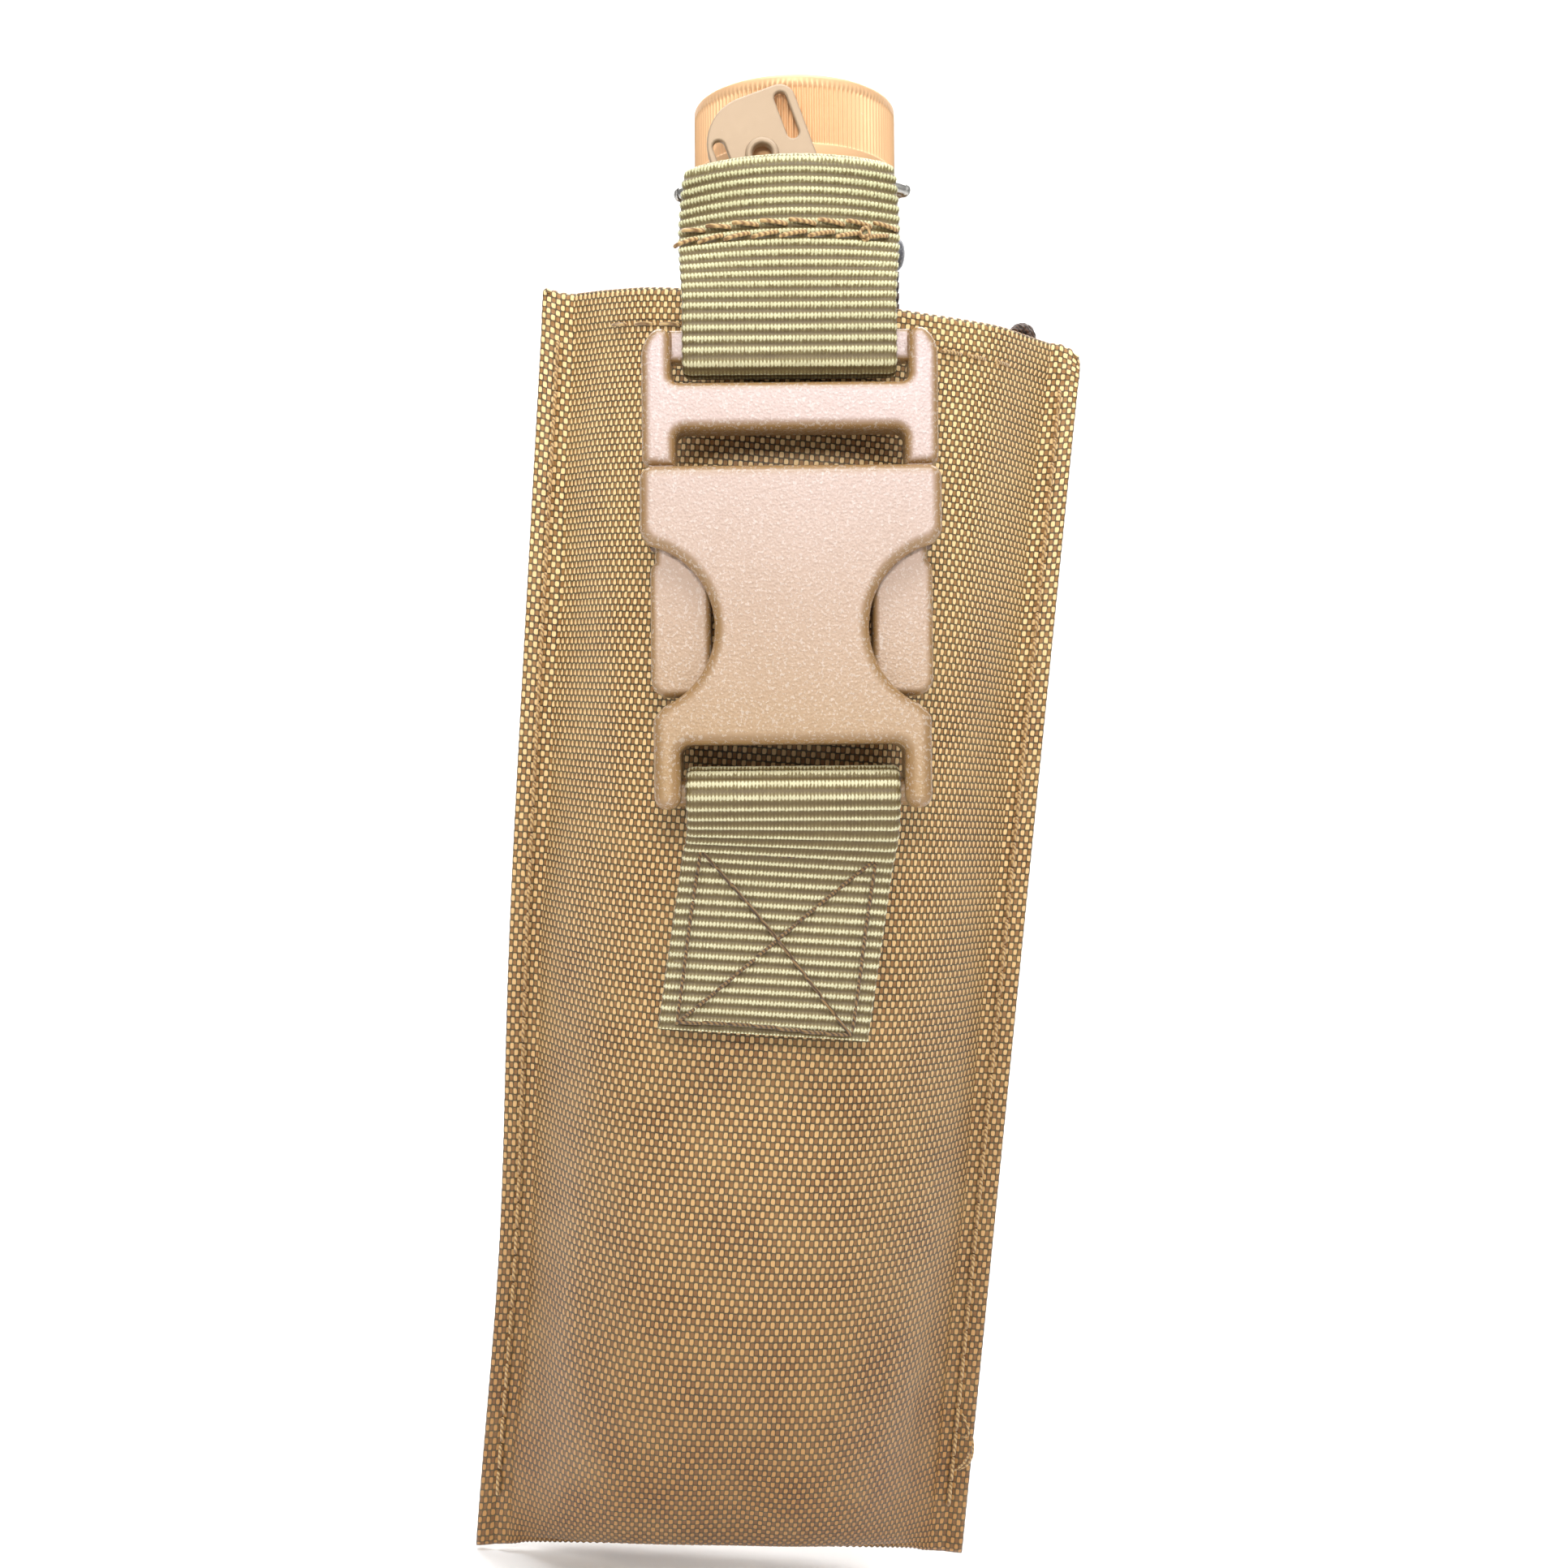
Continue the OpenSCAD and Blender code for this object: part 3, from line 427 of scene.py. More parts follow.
def plastic_material(name, base, shade, top=None, grain=1.0):
    """Moulded plastic: sandy grain on the flats, smoother rounded edges in painted shade (the browner second
    tone), an optional painted highlight towards the top, faint scuffs.
    """
    n = Nodes(name)
    place = n.place()
    sand = n.noise(place, 2300.0, 2.0, 0.7)
    pits = n.node("ShaderNodeTexVoronoi", {"Vector": place, "Scale": 3000.0})
    tone = n.noise(place, 55.0, 4.0)
    scuff = n.noise(n.stretched(place, 1.0, 1.0, 0.25), 420.0, 5.0, 0.75)
    # Painted shade: faces that look along the depth axis keep the face tone, while rounded edges and faces
    # turned aside get the shade tone.
    _, forward, _ = parts(n, n.node("ShaderNodeNewGeometry", {}, 1))
    flat = n.math("POWER", n.math("ABSOLUTE", forward), 12.0)
    face = base
    # Painted highlight: the optional top tone lightens the faces towards the top.
    if top is not None:
        face = n.mix(height_share(n, 0.0, 0.05), base, top)
    colour = n.mix(n.math("MULTIPLY", flat, n.math("MULTIPLY_ADD", tone, 0.4, 0.75), clamp=True), shade, face)
    colour = n.mix(n.math("MULTIPLY", n.math("GREATER_THAN", sand, 0.58), 0.16), colour, (1, 1, 1, 1))
    colour = n.mix(n.math("MULTIPLY", n.math("GREATER_THAN", scuff, 0.67), 0.15), colour, (1, 1, 1, 1))
    height = n.math("MULTIPLY", n.math("ADD", sand, pits), flat)
    rough = n.math("MULTIPLY_ADD", flat, 0.18, 0.27)
    return n.finish(Base_Color=colour, Roughness=rough, Coat_Weight=0.12, Coat_Roughness=0.3,
                    Normal=n.bump(height, 0.00012 * grain, 0.7))


def metal_material(name, base, shade, metallic, rough, brush=(1.0, 1.0, 1.0), grain=1200.0, depth=0.00002):
    """Machined, anodised or brushed metal: a drawn grain, uneven tone and small wear marks."""
    n = Nodes(name)
    place = n.place()
    lines = n.noise(n.stretched(place, *brush), grain, 3.0, 0.7)
    tone = n.noise(place, 70.0, 4.0)
    wear = n.noise(place, 520.0, 5.0, 0.8)
    colour = n.mix(tone, base, shade)
    colour = n.mix(n.math("MULTIPLY", n.math("GREATER_THAN", wear, 0.68), 0.35), colour, srgb(0.9, 0.86, 0.8))
    uneven = n.math("MULTIPLY_ADD", lines, 0.22, rough - 0.1)
    return n.finish(Base_Color=colour, Metallic=metallic, Roughness=uneven,
                    Normal=n.bump(lines, depth, 0.6))


def soft_material(name, base, shade, rough=0.7, grain=1600.0):
    """Rubber, shrink film and solder mask: a fine pebble and an uneven tone."""
    n = Nodes(name)
    place = n.place()
    pebble = n.node("ShaderNodeTexVoronoi", {"Vector": place, "Scale": grain})
    tone = n.noise(place, 120.0, 4.0)
    colour = n.mix(tone, base, shade)
    return n.finish(Base_Color=colour, Roughness=rough, Normal=n.bump(pebble, 0.00004, 0.5))


def glass_material(name):
    n = Nodes(name)
    haze = n.noise(n.place(), 220.0, 4.0)
    rough = n.math("MULTIPLY", haze, 0.06)
    tint = n.mix(haze, srgb(0.93, 0.97, 1.0), srgb(0.98, 1.0, 1.0))
    return n.finish(Base_Color=tint, Roughness=rough, Transmission_Weight=1.0, IOR=1.5)


# Cloth tones: a painted highlight for the raised floats, the cloth's own middle tone, and painted shade for
# the gaps.
FABRIC_PAINTED_HIGHLIGHT = srgb(1.00, 0.88, 0.65)
FABRIC_MIDDLE = srgb(0.61, 0.42, 0.22)
FABRIC_PAINTED_GAP_SHADE = srgb(0.13, 0.07, 0.03)
# Each slot has the function that makes it, its tones and any other values the function takes.
TONES = {
    "tan_thread": (thread_material, [(0.90, 0.76, 0.52), (0.50, 0.36, 0.20)]),
    "brown_thread": (thread_material, [(0.62, 0.48, 0.28), (0.24, 0.16, 0.08)]),
    "brown_cord": (thread_material, [(0.38, 0.25, 0.16), (0.12, 0.07, 0.04)]),
    # buckle_plastic: the second tone is painted shade on the rounded edges, and the third is a painted
    # highlight towards the top.
    "buckle_plastic": (plastic_material, [(0.68, 0.56, 0.41), (0.58, 0.45, 0.29), (0.81, 0.73, 0.72)]),
    "tan_anodised": (metal_material, [(0.92, 0.75, 0.57), (0.85, 0.67, 0.49)], 0.25, 0.42),
    "dark_steel": (metal_material, [(0.30, 0.29, 0.27), (0.2, 0.19, 0.18)], 0.9, 0.4),
    "seal_rubber": (soft_material, [(0.07, 0.07, 0.07), (0.03, 0.03, 0.03)]),
    "reflector_mirror": (metal_material, [(0.95, 0.95, 0.95), (0.9, 0.9, 0.9)], 1.0, 0.12),
    "led_yellow": (soft_material, [(0.95, 0.85, 0.3), (0.85, 0.7, 0.2)], 0.3),
    "insulator": (soft_material, [(0.93, 0.92, 0.9), (0.85, 0.84, 0.8)]),
    "board_white": (soft_material, [(0.9, 0.9, 0.87), (0.8, 0.8, 0.77)], 0.4),
    "pill_brass": (metal_material, [(0.78, 0.62, 0.34), (0.66, 0.5, 0.25)], 1.0, 0.3, (1, 1, 8)),
    "board_green": (soft_material, [(0.1, 0.38, 0.2), (0.06, 0.26, 0.13)], 0.35),
    "contact_gold": (metal_material, [(0.93, 0.76, 0.38), (0.84, 0.66, 0.3)], 1.0, 0.25),
    "cell_wrap": (soft_material, [(0.16, 0.32, 0.52), (0.1, 0.24, 0.42)], 0.3),
    # switch_grey: the second tone is painted shade on the rounded edges.
    "switch_grey": (plastic_material, [(0.50, 0.50, 0.52), (0.38, 0.38, 0.40)]),
    "switch_metal": (metal_material, [(0.75, 0.75, 0.75), (0.6, 0.6, 0.6)], 1.0, 0.35),
    "pad_rubber": (soft_material, [(0.34, 0.23, 0.18), (0.22, 0.14, 0.11)], 0.6),
    "screw_steel": (metal_material, [(0.8, 0.79, 0.77), (0.66, 0.65, 0.63)], 1.0, 0.28),
    "clip_taupe": (metal_material, [(0.70, 0.61, 0.51), (0.62, 0.53, 0.43)], 0.2, 0.42),
    "spring_steel": (metal_material, [(0.78, 0.78, 0.8), (0.66, 0.66, 0.68)], 1.0, 0.25),
}
MATERIALS = {slot_name: make(slot_name, *(srgb(*tone) for tone in tones), *rest)
             for slot_name, (make, tones, *rest) in TONES.items()}
MATERIALS["pouch_fabric"] = weave_material("woven_nylon", FABRIC_PAINTED_HIGHLIGHT, FABRIC_MIDDLE, FABRIC_PAINTED_GAP_SHADE)
# Webbing tones: a painted highlight for the rib crowns, the webbing's own groove tone, and painted shade for
# the groove bottoms that also darkens random flecks.
MATERIALS["strap_webbing"] = webbing_material("ribbed_webbing", srgb(1.00, 0.98, 0.82),
                                              srgb(0.55, 0.49, 0.32), srgb(0.36, 0.28, 0.15))
MATERIALS["lens_glass"] = glass_material("lens_glass")
SLOT_OF = {s["node"]: s["material_slot"] for s in frame["record"]["subparts"]}


def dress(obj, slot_name, body=None, stands_for=()):
    """Gives a piece its material, its body and the CAD nodes it stands for."""
    obj.data.materials.clear()
    obj.data.materials.append(MATERIALS[slot_name])
    if body is not None:
        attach(obj, body)
    if stands_for:
        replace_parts(obj, *stands_for)
    return obj


# ---------------------------------------------------------------- the pouch
SEAM_Y = AXIS_Y / MM + 4.5
FRONT_BULGE = SEAM_Y - FABRIC - FRONT_Y
BACK_BULGE = BACK_Y - SEAM_Y - FABRIC


def half_width(h):
    return mix(BOTTOM_WIDTH, MOUTH_WIDTH, h / POUCH_HEIGHT) / 2


def level_height(x, h):
    """The mouth slopes and dips, its corners are eased; the bottom fold tilts and arches."""
    up = h / POUCH_HEIGHT
    t = np.clip(x / half_width(h), -1, 1)
    drop = MOUTH_DROP * (1 + t) / 2 + MOUTH_DIP * (1 - np.abs(t) ** 2.5)
    arch = 1.5 * (1 - t * t) * (1 - up) ** 8
    corner = np.clip((t - 0.90) / 0.10, 0, 1) ** 2 * 2.6 * up ** 40
    corner = corner + np.clip((-t - 0.88) / 0.12, 0, 1) * 0.8 * up ** 40
    return h - FOLD_LOW - up ** 5 * drop + arch + FOLD_TILT * t * (1 - up) ** 4 - corner


def side_drift(t, h):
    """The pouch's sides aren't quite straight: the left one is drawn in above the bottom corner."""
    draw = np.exp(-((h - 38) / 30) ** 2) * 1.1 * np.clip(-t, 0, 1) ** 2
    return draw - 0.8 * (1 - h / POUCH_HEIGHT)


def panel(t, h, side, inside=False):
    """A point of the pouch's wall: t runs from -1 to 1 across it, h up it."""
    half = half_width(h)
    x = t * half
    wall = half - FLANGE - (FABRIC if inside else 0)
    bulge, power = (FRONT_BULGE, FRONT_POWER) if side < 0 else (BACK_BULGE, BACK_POWER)
    full = 1 - np.clip(np.abs(x) / wall, 0, 1) ** power
    start, base = (2.3, 0.15) if inside else (-0.3, FABRIC)
    left = np.clip((h - start) / (BOTTOM_ROUND - start), 0, 1)
    y = SEAM_Y + side * (base + bulge * np.sqrt(1 - (1 - left) ** 2) * full)
    z = DATUM_Z + level_height(x, h)
    return np.stack(np.broadcast_arrays(x + side_drift(t, h), y, z), -1)


def columns_by_length(side, step):
    """Evenly spaced columns along the wall's curve: their t and their distance from the middle."""
    t = np.linspace(-1, 1, 2001)
    line = panel(t, np.full_like(t, POUCH_HEIGHT / 2), side)
    length = lengths_along(line)
    u = np.arange(0, length[-1], step)
    u = u - u[-1] / 2
    return np.interp(u, length - length[-1] / 2, t), u


def roll_edge(p, n, uv, r, last, axis):
    """Rolls a border of the grid round to its inner side; axis 0 is the rows, 1 the columns."""
    p, n, uv = (np.swapaxes(a, 0, axis) for a in (p, n, uv))
    edge, before = (-1, -2) if last else (0, 1)
    out = unit(p[edge] - p[before])
    rolled, turned, places = [], [], []
    for a in np.radians([30, 60, 90, 120, 150, 180]):
        rolled.append(p[edge] + out * r * math.sin(a) - n[edge] * r * (1 - math.cos(a)))
        turned.append(n[edge] * math.cos(a) + out * math.sin(a))
        places.append(uv[edge] + unit(uv[edge] - uv[before]) * r * a)
    join = (lambda a, b: np.concatenate([a, b])) if last else (lambda a, b: np.concatenate([b[::-1], a]))
    made = (join(p, np.array(rolled)), join(n, np.array(turned)), join(uv, np.array(places)))
    return tuple(np.swapaxes(a, 0, axis) for a in made)


def pouch_panel(name, side, step_across, step_up):
    t, u = columns_by_length(side, step_across)
    h = np.arange(0, POUCH_HEIGHT + step_up / 2, step_up)
    hh, tt = np.meshgrid(h, t, indexing="ij")
    uu = np.broadcast_to(u, hh.shape)
    p = panel(tt, hh, side)
    n = surface_normals(p) * (-1 if side < 0 else 1)
    n *= np.sign(n[len(h) // 2, len(t) // 2, 1]) * side
    edge = half_width(hh) * (1 - np.abs(tt))
    lift = 0.10 * np.cos(2 * math.pi * uu / WEAVE_STEP) * np.cos(math.pi * hh / WEAVE_ROW)
    lift = lift * smooth_step(0, 0.8, edge)
    lift += 0.3 * smooth_step(POUCH_HEIGHT - HEM - 0.8, POUCH_HEIGHT - HEM, hh) - 0.3
    hem = (hh - POUCH_HEIGHT + HEM) / 0.5
    seam = (edge - FLANGE / 2) / 0.5
    lift -= 0.28 * np.exp(-hem ** 2) + 0.3 * np.exp(-seam ** 2)
    crease = (edge - FLANGE - 0.2) / 1.1
    lift += 0.35 * np.exp(-crease ** 2)
    coarse = (slice(None, None, 8), slice(None, None, 8))
    slow = gentle(uu[coarse], hh[coarse] * 0.4, 9.0, 3.0 + side) * 0.25
    slow += gentle(uu[coarse], hh[coarse], 21.0, 7.0 + side) * 0.3
    rows = np.linspace(0, slow.shape[0] - 1, len(h))
    cols = np.linspace(0, slow.shape[1] - 1, len(t))
    slow = np.array([np.interp(cols, np.arange(slow.shape[1]), line) for line in slow])
    slow = np.array([np.interp(rows, np.arange(slow.shape[0]), line) for line in slow.T]).T
    p = p + n * (lift + slow * smooth_step(0, 6, edge) * smooth_step(0, 8, hh))[..., None]
    uv = np.stack([uu, hh], -1)
    for last in (False, True):
        p, n, uv = roll_edge(p, n, uv, (FABRIC - 0.15) / 2, last, 1)
    p, n, uv = roll_edge(p, n, uv, 0.75, True, 0)
    fold, places = [], []
    for a in np.radians([90, 70, 50, 30, 15]):
        low = p[0].copy()
        low[:, 1] = SEAM_Y + (p[0][:, 1] - SEAM_Y) * math.cos(a)
        low[:, 2] -= 1.1 * math.sin(a)
        fold.append(low)
        places.append(uv[0] - np.array([0, 1.5 * a]))
    p = np.concatenate([np.array(fold), p])
    uv = np.concatenate([np.array(places), uv])
    build = Build()
    build.grid(p, uv, flip=side > 0)
    inner_h = np.arange(2.3, POUCH_HEIGHT - 0.3, 1.7)
    hh, tt = np.meshgrid(inner_h, np.linspace(-1, 1, 61), indexing="ij")
    uv = np.stack([tt * 38, hh], -1)
    build.grid(panel(tt, hh, side, True), uv, flip=side < 0)
    cloth = build.make(name)
    return dress(cloth, "pouch_fabric", "pouch", ["pouch_shell"])


def stitch(build, middle, along, out, length, r, height=0.3, sides=8):
    """One stitch: a short arch of thread that dives in at both ends."""
    s = np.linspace(-1, 1, 7)
    path = (np.asarray(middle) + np.outer(s * length / 2, along)
            + np.outer(height * (1 - s ** 4) - height * 0.75, out))
    build.tube(path, r, sides)


def pouch_stitching():
    build = Build()
    forward = np.array([0, -1.0, 0])
    for side in (-1, 1):
        for h in np.arange(6, 160, STITCH):
            x = side * (half_width(h) - FLANGE / 2) + side_drift(side * 0.93, h)
            z = DATUM_Z + level_height(x, h + 1.3)
            lean = side * (MOUTH_WIDTH - BOTTOM_WIDTH) / 2 / POUCH_HEIGHT
            stitch(build, (x, SEAM_Y - FABRIC - 0.05, z), (lean, 0, 1), forward, 2.8, 0.24)
    for k, (x, h, drop) in enumerate([(30.4, 15.5, 5), (31.2, 12.5, 7), (30.8, 10.5, 4)]):
        s = np.linspace(0, 1, 9)
        path = np.stack([x + 0.9 * np.sin(s * 3 + k), SEAM_Y - FABRIC - 0.2 - 0.9 * np.sin(s * 3),
                         DATUM_Z + h - drop * s * (1 - 0.4 * s)], -1)
        build.tube(path, 0.13, 6)
    dress(build.make("side_seam_threads"), "tan_thread", "pouch", ["side_seam_stitching"])
    build = Build()
    for x in np.arange(-24.5, 26, STITCH):
        t = x / half_width(POUCH_HEIGHT)
        here, after = panel(t, POUCH_HEIGHT - HEM, -1), panel(t + 0.01, POUCH_HEIGHT - HEM, -1)
        stitch(build, here + forward * 0.12, unit(after - here), forward, 2.8, 0.24)
    dress(build.make("mouth_hem_threads"), "tan_thread", "pouch", ["mouth_hem_stitching"])


def braided_cord():
    """A short loop of round braided cord sewn inside the mouth's right corner."""
    leg, bend, sides = 8, 1.0, 32
    turn = np.linspace(0, math.pi, 30)
    legs = np.linspace(leg, 0, 24, endpoint=False)
    x = np.concatenate([np.full(24, bend), bend * np.cos(turn), np.full(24, -bend)])
    z = np.concatenate([-legs, bend * np.sin(turn), -legs[::-1]])
    path = np.stack([28.1 + x, np.full_like(x, SEAM_Y - 0.5), DATUM_Z + 159.6 + z], -1)
    build = Build()
    build.tube(path, 0.8, sides)
    obj = build.make("braided_cord")
    rings = coordinates(obj).reshape(-1, sides, 3)
    middle = rings.mean(1, keepdims=True)
    s = np.arange(len(rings))[:, None] * 0.9
    phi = np.linspace(0, 2 * math.pi, sides, endpoint=False)[None]
    strands = 0.12 * np.maximum(np.cos(4 * phi + s), np.cos(4 * phi - s))
    put_coordinates(obj, middle + (rings - middle) * (1 + strands)[..., None])
    dress(obj, "brown_cord", "pouch", ["cord_loop"])


pouch_panel("pouch_front_cloth", -1, WEAVE_STEP / 4, WEAVE_ROW / 2)
pouch_panel("pouch_back_cloth", 1, WEAVE_STEP / 2, WEAVE_ROW)
pouch_stitching()
braided_cord()


# ---------------------------------------------------------------- webbing
def walked(points, step):
    """A smoothed path through the points, resampled at even steps."""
    p = np.asarray(points, float)
    for _ in range(3):
        near, far = p[:-1] * 0.75 + p[1:] * 0.25, p[:-1] * 0.25 + p[1:] * 0.75
        p = np.concatenate([p[:1], np.stack([near, far], 1).reshape(-1, p.shape[1]), p[-1:]])
    length = lengths_along(p)
    v = np.linspace(0, length[-1], max(2, round(length[-1] / step)) + 1)
    return np.stack([np.interp(v, length, p[:, k]) for k in range(p.shape[1])], -1), v


def ribbed_band(name, line, width, thickness, place, closed=False, ribs=0.30, start=0.0, fine=6):
    """Webbing along a line of (depth, height) points; place(x, depth, height) puts a point in the row."""
    path, v = walked(line, RIB / fine)
    if closed:
        path, v = path[:-1], v
    run = (np.roll(path, -1, 0) - np.roll(path, 1, 0)) if closed else np.gradient(path, axis=0)
    run = unit(run)
    normal = np.stack([run[:, 1], -run[:, 0]], -1)
    count = int(width / 0.55)
    flat = np.linspace(-1, 1, count)
    turn = np.radians([30, 60, 90, 120, 150])
    corner = thickness / 2
    across = np.concatenate([flat * (width / 2 - corner), width / 2 - corner + corner * np.sin(turn),
                             -flat * (width / 2 - corner), -(width / 2 - corner) - corner * np.sin(turn)])
    height = np.concatenate([np.ones(count), np.cos(turn), -np.ones(count), -np.cos(turn)]) * corner
    rib = np.cos(2 * math.pi * (v[:len(path)] - start) / RIB)[:, None]
    rib = 1 - ribs * (0.5 - 0.5 * np.sign(rib) * np.abs(rib) ** 0.7)
    warp = 1 - 0.03 * np.cos(2 * math.pi * across / 1.5)[None]
    offset = height * rib * warp
    x = across + 0.22 * (rib - 1) * np.sign(across) * (np.abs(across) > width / 2 - corner)
    depth = path[:, :1] + normal[:, :1] * offset
    z = path[:, 1:] + normal[:, 1:] * offset
    p = place(x, depth, z)
    wide = np.concatenate([across, across[:1]])
    long = v if closed else v[:len(path)]
    uv = np.stack(np.broadcast_arrays(wide[None], long[:, None] - start), -1)
    build = Build()
    build.grid(p, uv, wrap_rows=closed, wrap_cols=True, flip=True)
    if not closed:
        for row in (0, -1):
            middle = np.broadcast_to(p[row].mean(0), p[row].shape)
            flatter = middle.copy()
            flatter[:, 0] = p[row][:, 0]
            build.grid(np.stack([p[row], flatter]), np.stack([uv[row], uv[row]]), wrap_cols=True,
                       flip=row == 0)
    return build.make(name)


BAR_DEPTH = HARDWARE
BAIL_DEPTH = 19.6
EYE = 0.8 + 0.25 + WEBBING / 2
BAIL_Z = 173.2 - EYE - WEBBING / 2
PLUG_TOP = 152.2
SOCKET_BAR_Z, SOCKET_BAR_R = 96.6, 1.6
BAR_CLEAR = PLUG_TOP + 0.4
BAR_HALF = 1.5
STITCH_Z = 163.2
BEND_START, BEND_END = 154, 168
LIGHT_SHIFT = 1.0


def front_layer(z):
    low = BAR_DEPTH + BAR_HALF + 0.02 + WEBBING / 2
    return mix(low, BAIL_DEPTH + EYE, np.clip((z - BAR_CLEAR) / (BAIL_Z - BAR_CLEAR), 0, 1))


def rear_layer(z):
    closed = WEBBING + 0.02
    low = mix(2 * (BAR_HALF + 0.02) + WEBBING, closed, smooth_step(BAR_CLEAR, BAR_CLEAR + 4, z))
    high = mix(closed, 2 * EYE, smooth_step(BAIL_Z - 6, BAIL_Z, z))
    return front_layer(z) - np.where(z < STITCH_Z, low, high)


def bent(x, depth, z):
    """Bends a point of the strap round the flashlight, more so towards its upper end."""
    turn = (x - LIGHT_SHIFT) / BAIL_DEPTH
    share = smooth_step(BEND_START, BEND_END, z)
    return BUCKLE.place(mix(x, LIGHT_SHIFT + depth * np.sin(turn), share),
                        mix(depth, depth * np.cos(turn), share), z)


def strap_line():
    turns = np.radians(np.arange(0, 181, 15))
    top = [(BAIL_DEPTH + EYE * math.cos(a), BAIL_Z + EYE * math.sin(a)) for a in turns]
    rear = [(float(rear_layer(z)), z) for z in np.arange(169, 152, -1.0)]
    gap = BAR_HALF + 0.02 + WEBBING / 2
    low = [(BAR_DEPTH - gap, 149), (BAR_DEPTH - gap, 147.7), (BAR_DEPTH - gap + 0.5, 146.9),
           (BAR_DEPTH, 146.7), (BAR_DEPTH + gap - 0.5, 146.9), (BAR_DEPTH + gap, 147.7),
           (BAR_DEPTH + gap, 149)]
    front = [(float(front_layer(z)), z) for z in np.arange(151, 169.5, 1.0)]
    line = top + rear + low + front
    return line + line[:1]


def strap():
    line = strap_line()
    band = ribbed_band("retention_strap_webbing", line, STRAP_WIDTH, WEBBING, bent, closed=True,
                       ribs=0.5)
    dress(band, "strap_webbing", "strap", ["retention_strap"])
    build = Build()
    for k, row in enumerate((-0.7, 0.8)):
        z = STITCH_Z + row
        for x in np.arange(-11.4 + k, 11.6, 3.0):
            here = bent(x, front_layer(z) + WEBBING / 2, z)
            after = bent(x + 0.5, front_layer(z) + WEBBING / 2, z + 0.1 * (-1) ** k)
            out = unit(here - bent(x, front_layer(z), z))
            stitch(build, here + out * 0.1, unit(after - here), out, 2.9, 0.27)
    knot_z = STITCH_Z - 0.6
    knot = bent(8.2, front_layer(knot_z) + WEBBING / 2 + 0.3, knot_z)
    turn = np.linspace(0, 4.6 * math.pi, 60)
    curl = knot + np.stack([0.55 * np.cos(turn), 0.25 * np.sin(turn * 0.5),
                            0.8 * np.sin(turn) * np.cos(turn / 4)], -1)
    build.tube(curl, 0.2, 7)
    dress(build.make("strap_threads"), "tan_thread", "strap", ["strap_stitching"])


TAB_LOW, TAB_HIGH = 67.5, 91
TAB_LEAN = math.radians(4)
TAB = Leaning((1.1 * MM, AXIS_Y, (DATUM_Z + (TAB_LOW + TAB_HIGH) / 2) * MM),
              (math.sin(TAB_LEAN), 0, math.cos(TAB_LEAN)), (TAB_LOW + TAB_HIGH) / 2)
TAB.side = Vector((1, 0, 0.012))
TAB_FACE = 17.0


def tab_place(x, depth, z):
    share = np.broadcast_to(smooth_step(TAB_HIGH - 3, TAB_HIGH + 3, z), np.broadcast(x, depth, z).shape)
    return mix(TAB.place(x, depth, z), BUCKLE.place(x, depth, z), share[..., None])


def lower_tab():
    r = SOCKET_BAR_R + 0.04 + WEBBING / 2
    near, far = TAB_FACE + WEBBING / 2 + 0.05, TAB_FACE + 1.5 * WEBBING + 0.05
    turns = np.radians(np.arange(-20, 201, 20))
    line = [(far, TAB_LOW), (far, 75), (far, 84), (far, 89), (BAR_DEPTH + r - 1.6, 93)]
    line += [(BAR_DEPTH + r * math.cos(a), SOCKET_BAR_Z + r * math.sin(a)) for a in turns]
    line += [(near + 0.6, 91.5), (near, 88), (near, 80), (near, TAB_LOW + 0.6)]
    tab = ribbed_band("lower_tab_webbing", line, STRAP_WIDTH, WEBBING, tab_place, ribs=0.5, fine=5)
    dress(tab, "strap_webbing", "pouch", ["lower_webbing_tab"])
    build = Build()
    half = STRAP_WIDTH / 2 - 2.2
    middle = (TAB_LOW + TAB_HIGH) / 2 - 0.4
    out = np.array([0, -1.0, 0])
    corners = [(-half, middle - half), (half, middle - half), (half, middle + half), (-half, middle + half)]
    lines = [(corners[k], corners[(k + 1) % 4]) for k in range(4)]
    lines += [(corners[0], corners[2]), (corners[1], corners[3])]
    for k, ((x0, z0), (x1, z1)) in enumerate(lines):
        length = math.hypot(x1 - x0, z1 - z0)
        count = round(length / 2.9)
        for i in range(count):
            s = (i + 0.5) / count
            wander = 0.25 * math.sin(5 * s + k)
            along = unit(TAB.place(x1, 0, z1) - TAB.place(x0, 0, z0))
            here = TAB.place(mix(x0, x1, s) + wander * 0.3, far + WEBBING / 2 + 0.05, mix(z0, z1, s) + wander)
            stitch(build, here, along, out, length / count * 0.92, 0.22, 0.34)
    dress(build.make("box_threads"), "brown_thread", "pouch", ["box_stitching"])


def belt_loop():
    inner = -0.9
    panel_y = BACK_Y + 0.95
    line = [(panel_y, -48.2), (panel_y, -42), (panel_y, -37), (inner, -29.5), (inner, -15), (inner, 15),
            (inner, 29.5), (panel_y, 37), (panel_y, 42), (panel_y, 48.2)]
    width = (LOOP_HIGH.x - LOOP_LOW.x) / MM

    def place(x, y, z):
        return np.stack(np.broadcast_arrays(x, y, z), -1)
    loop = ribbed_band("belt_loop_webbing", line, width, 1.75, place, ribs=0.3, fine=4)
    dress(loop, "strap_webbing", "pouch", ["belt_loop"])
    build = Build()
    for z in (-45, -39, 39, 45):
        for x in np.arange(-width / 2 + 3.5, width / 2 - 3, STITCH):
            stitch(build, (x, panel_y + 0.92, z), (1, 0, 0), (0, 1, 0), 2.9, 0.24)
    dress(build.make("belt_loop_threads"), "tan_thread", "pouch", ["belt_loop_stitching"])


strap()
lower_tab()
belt_loop()


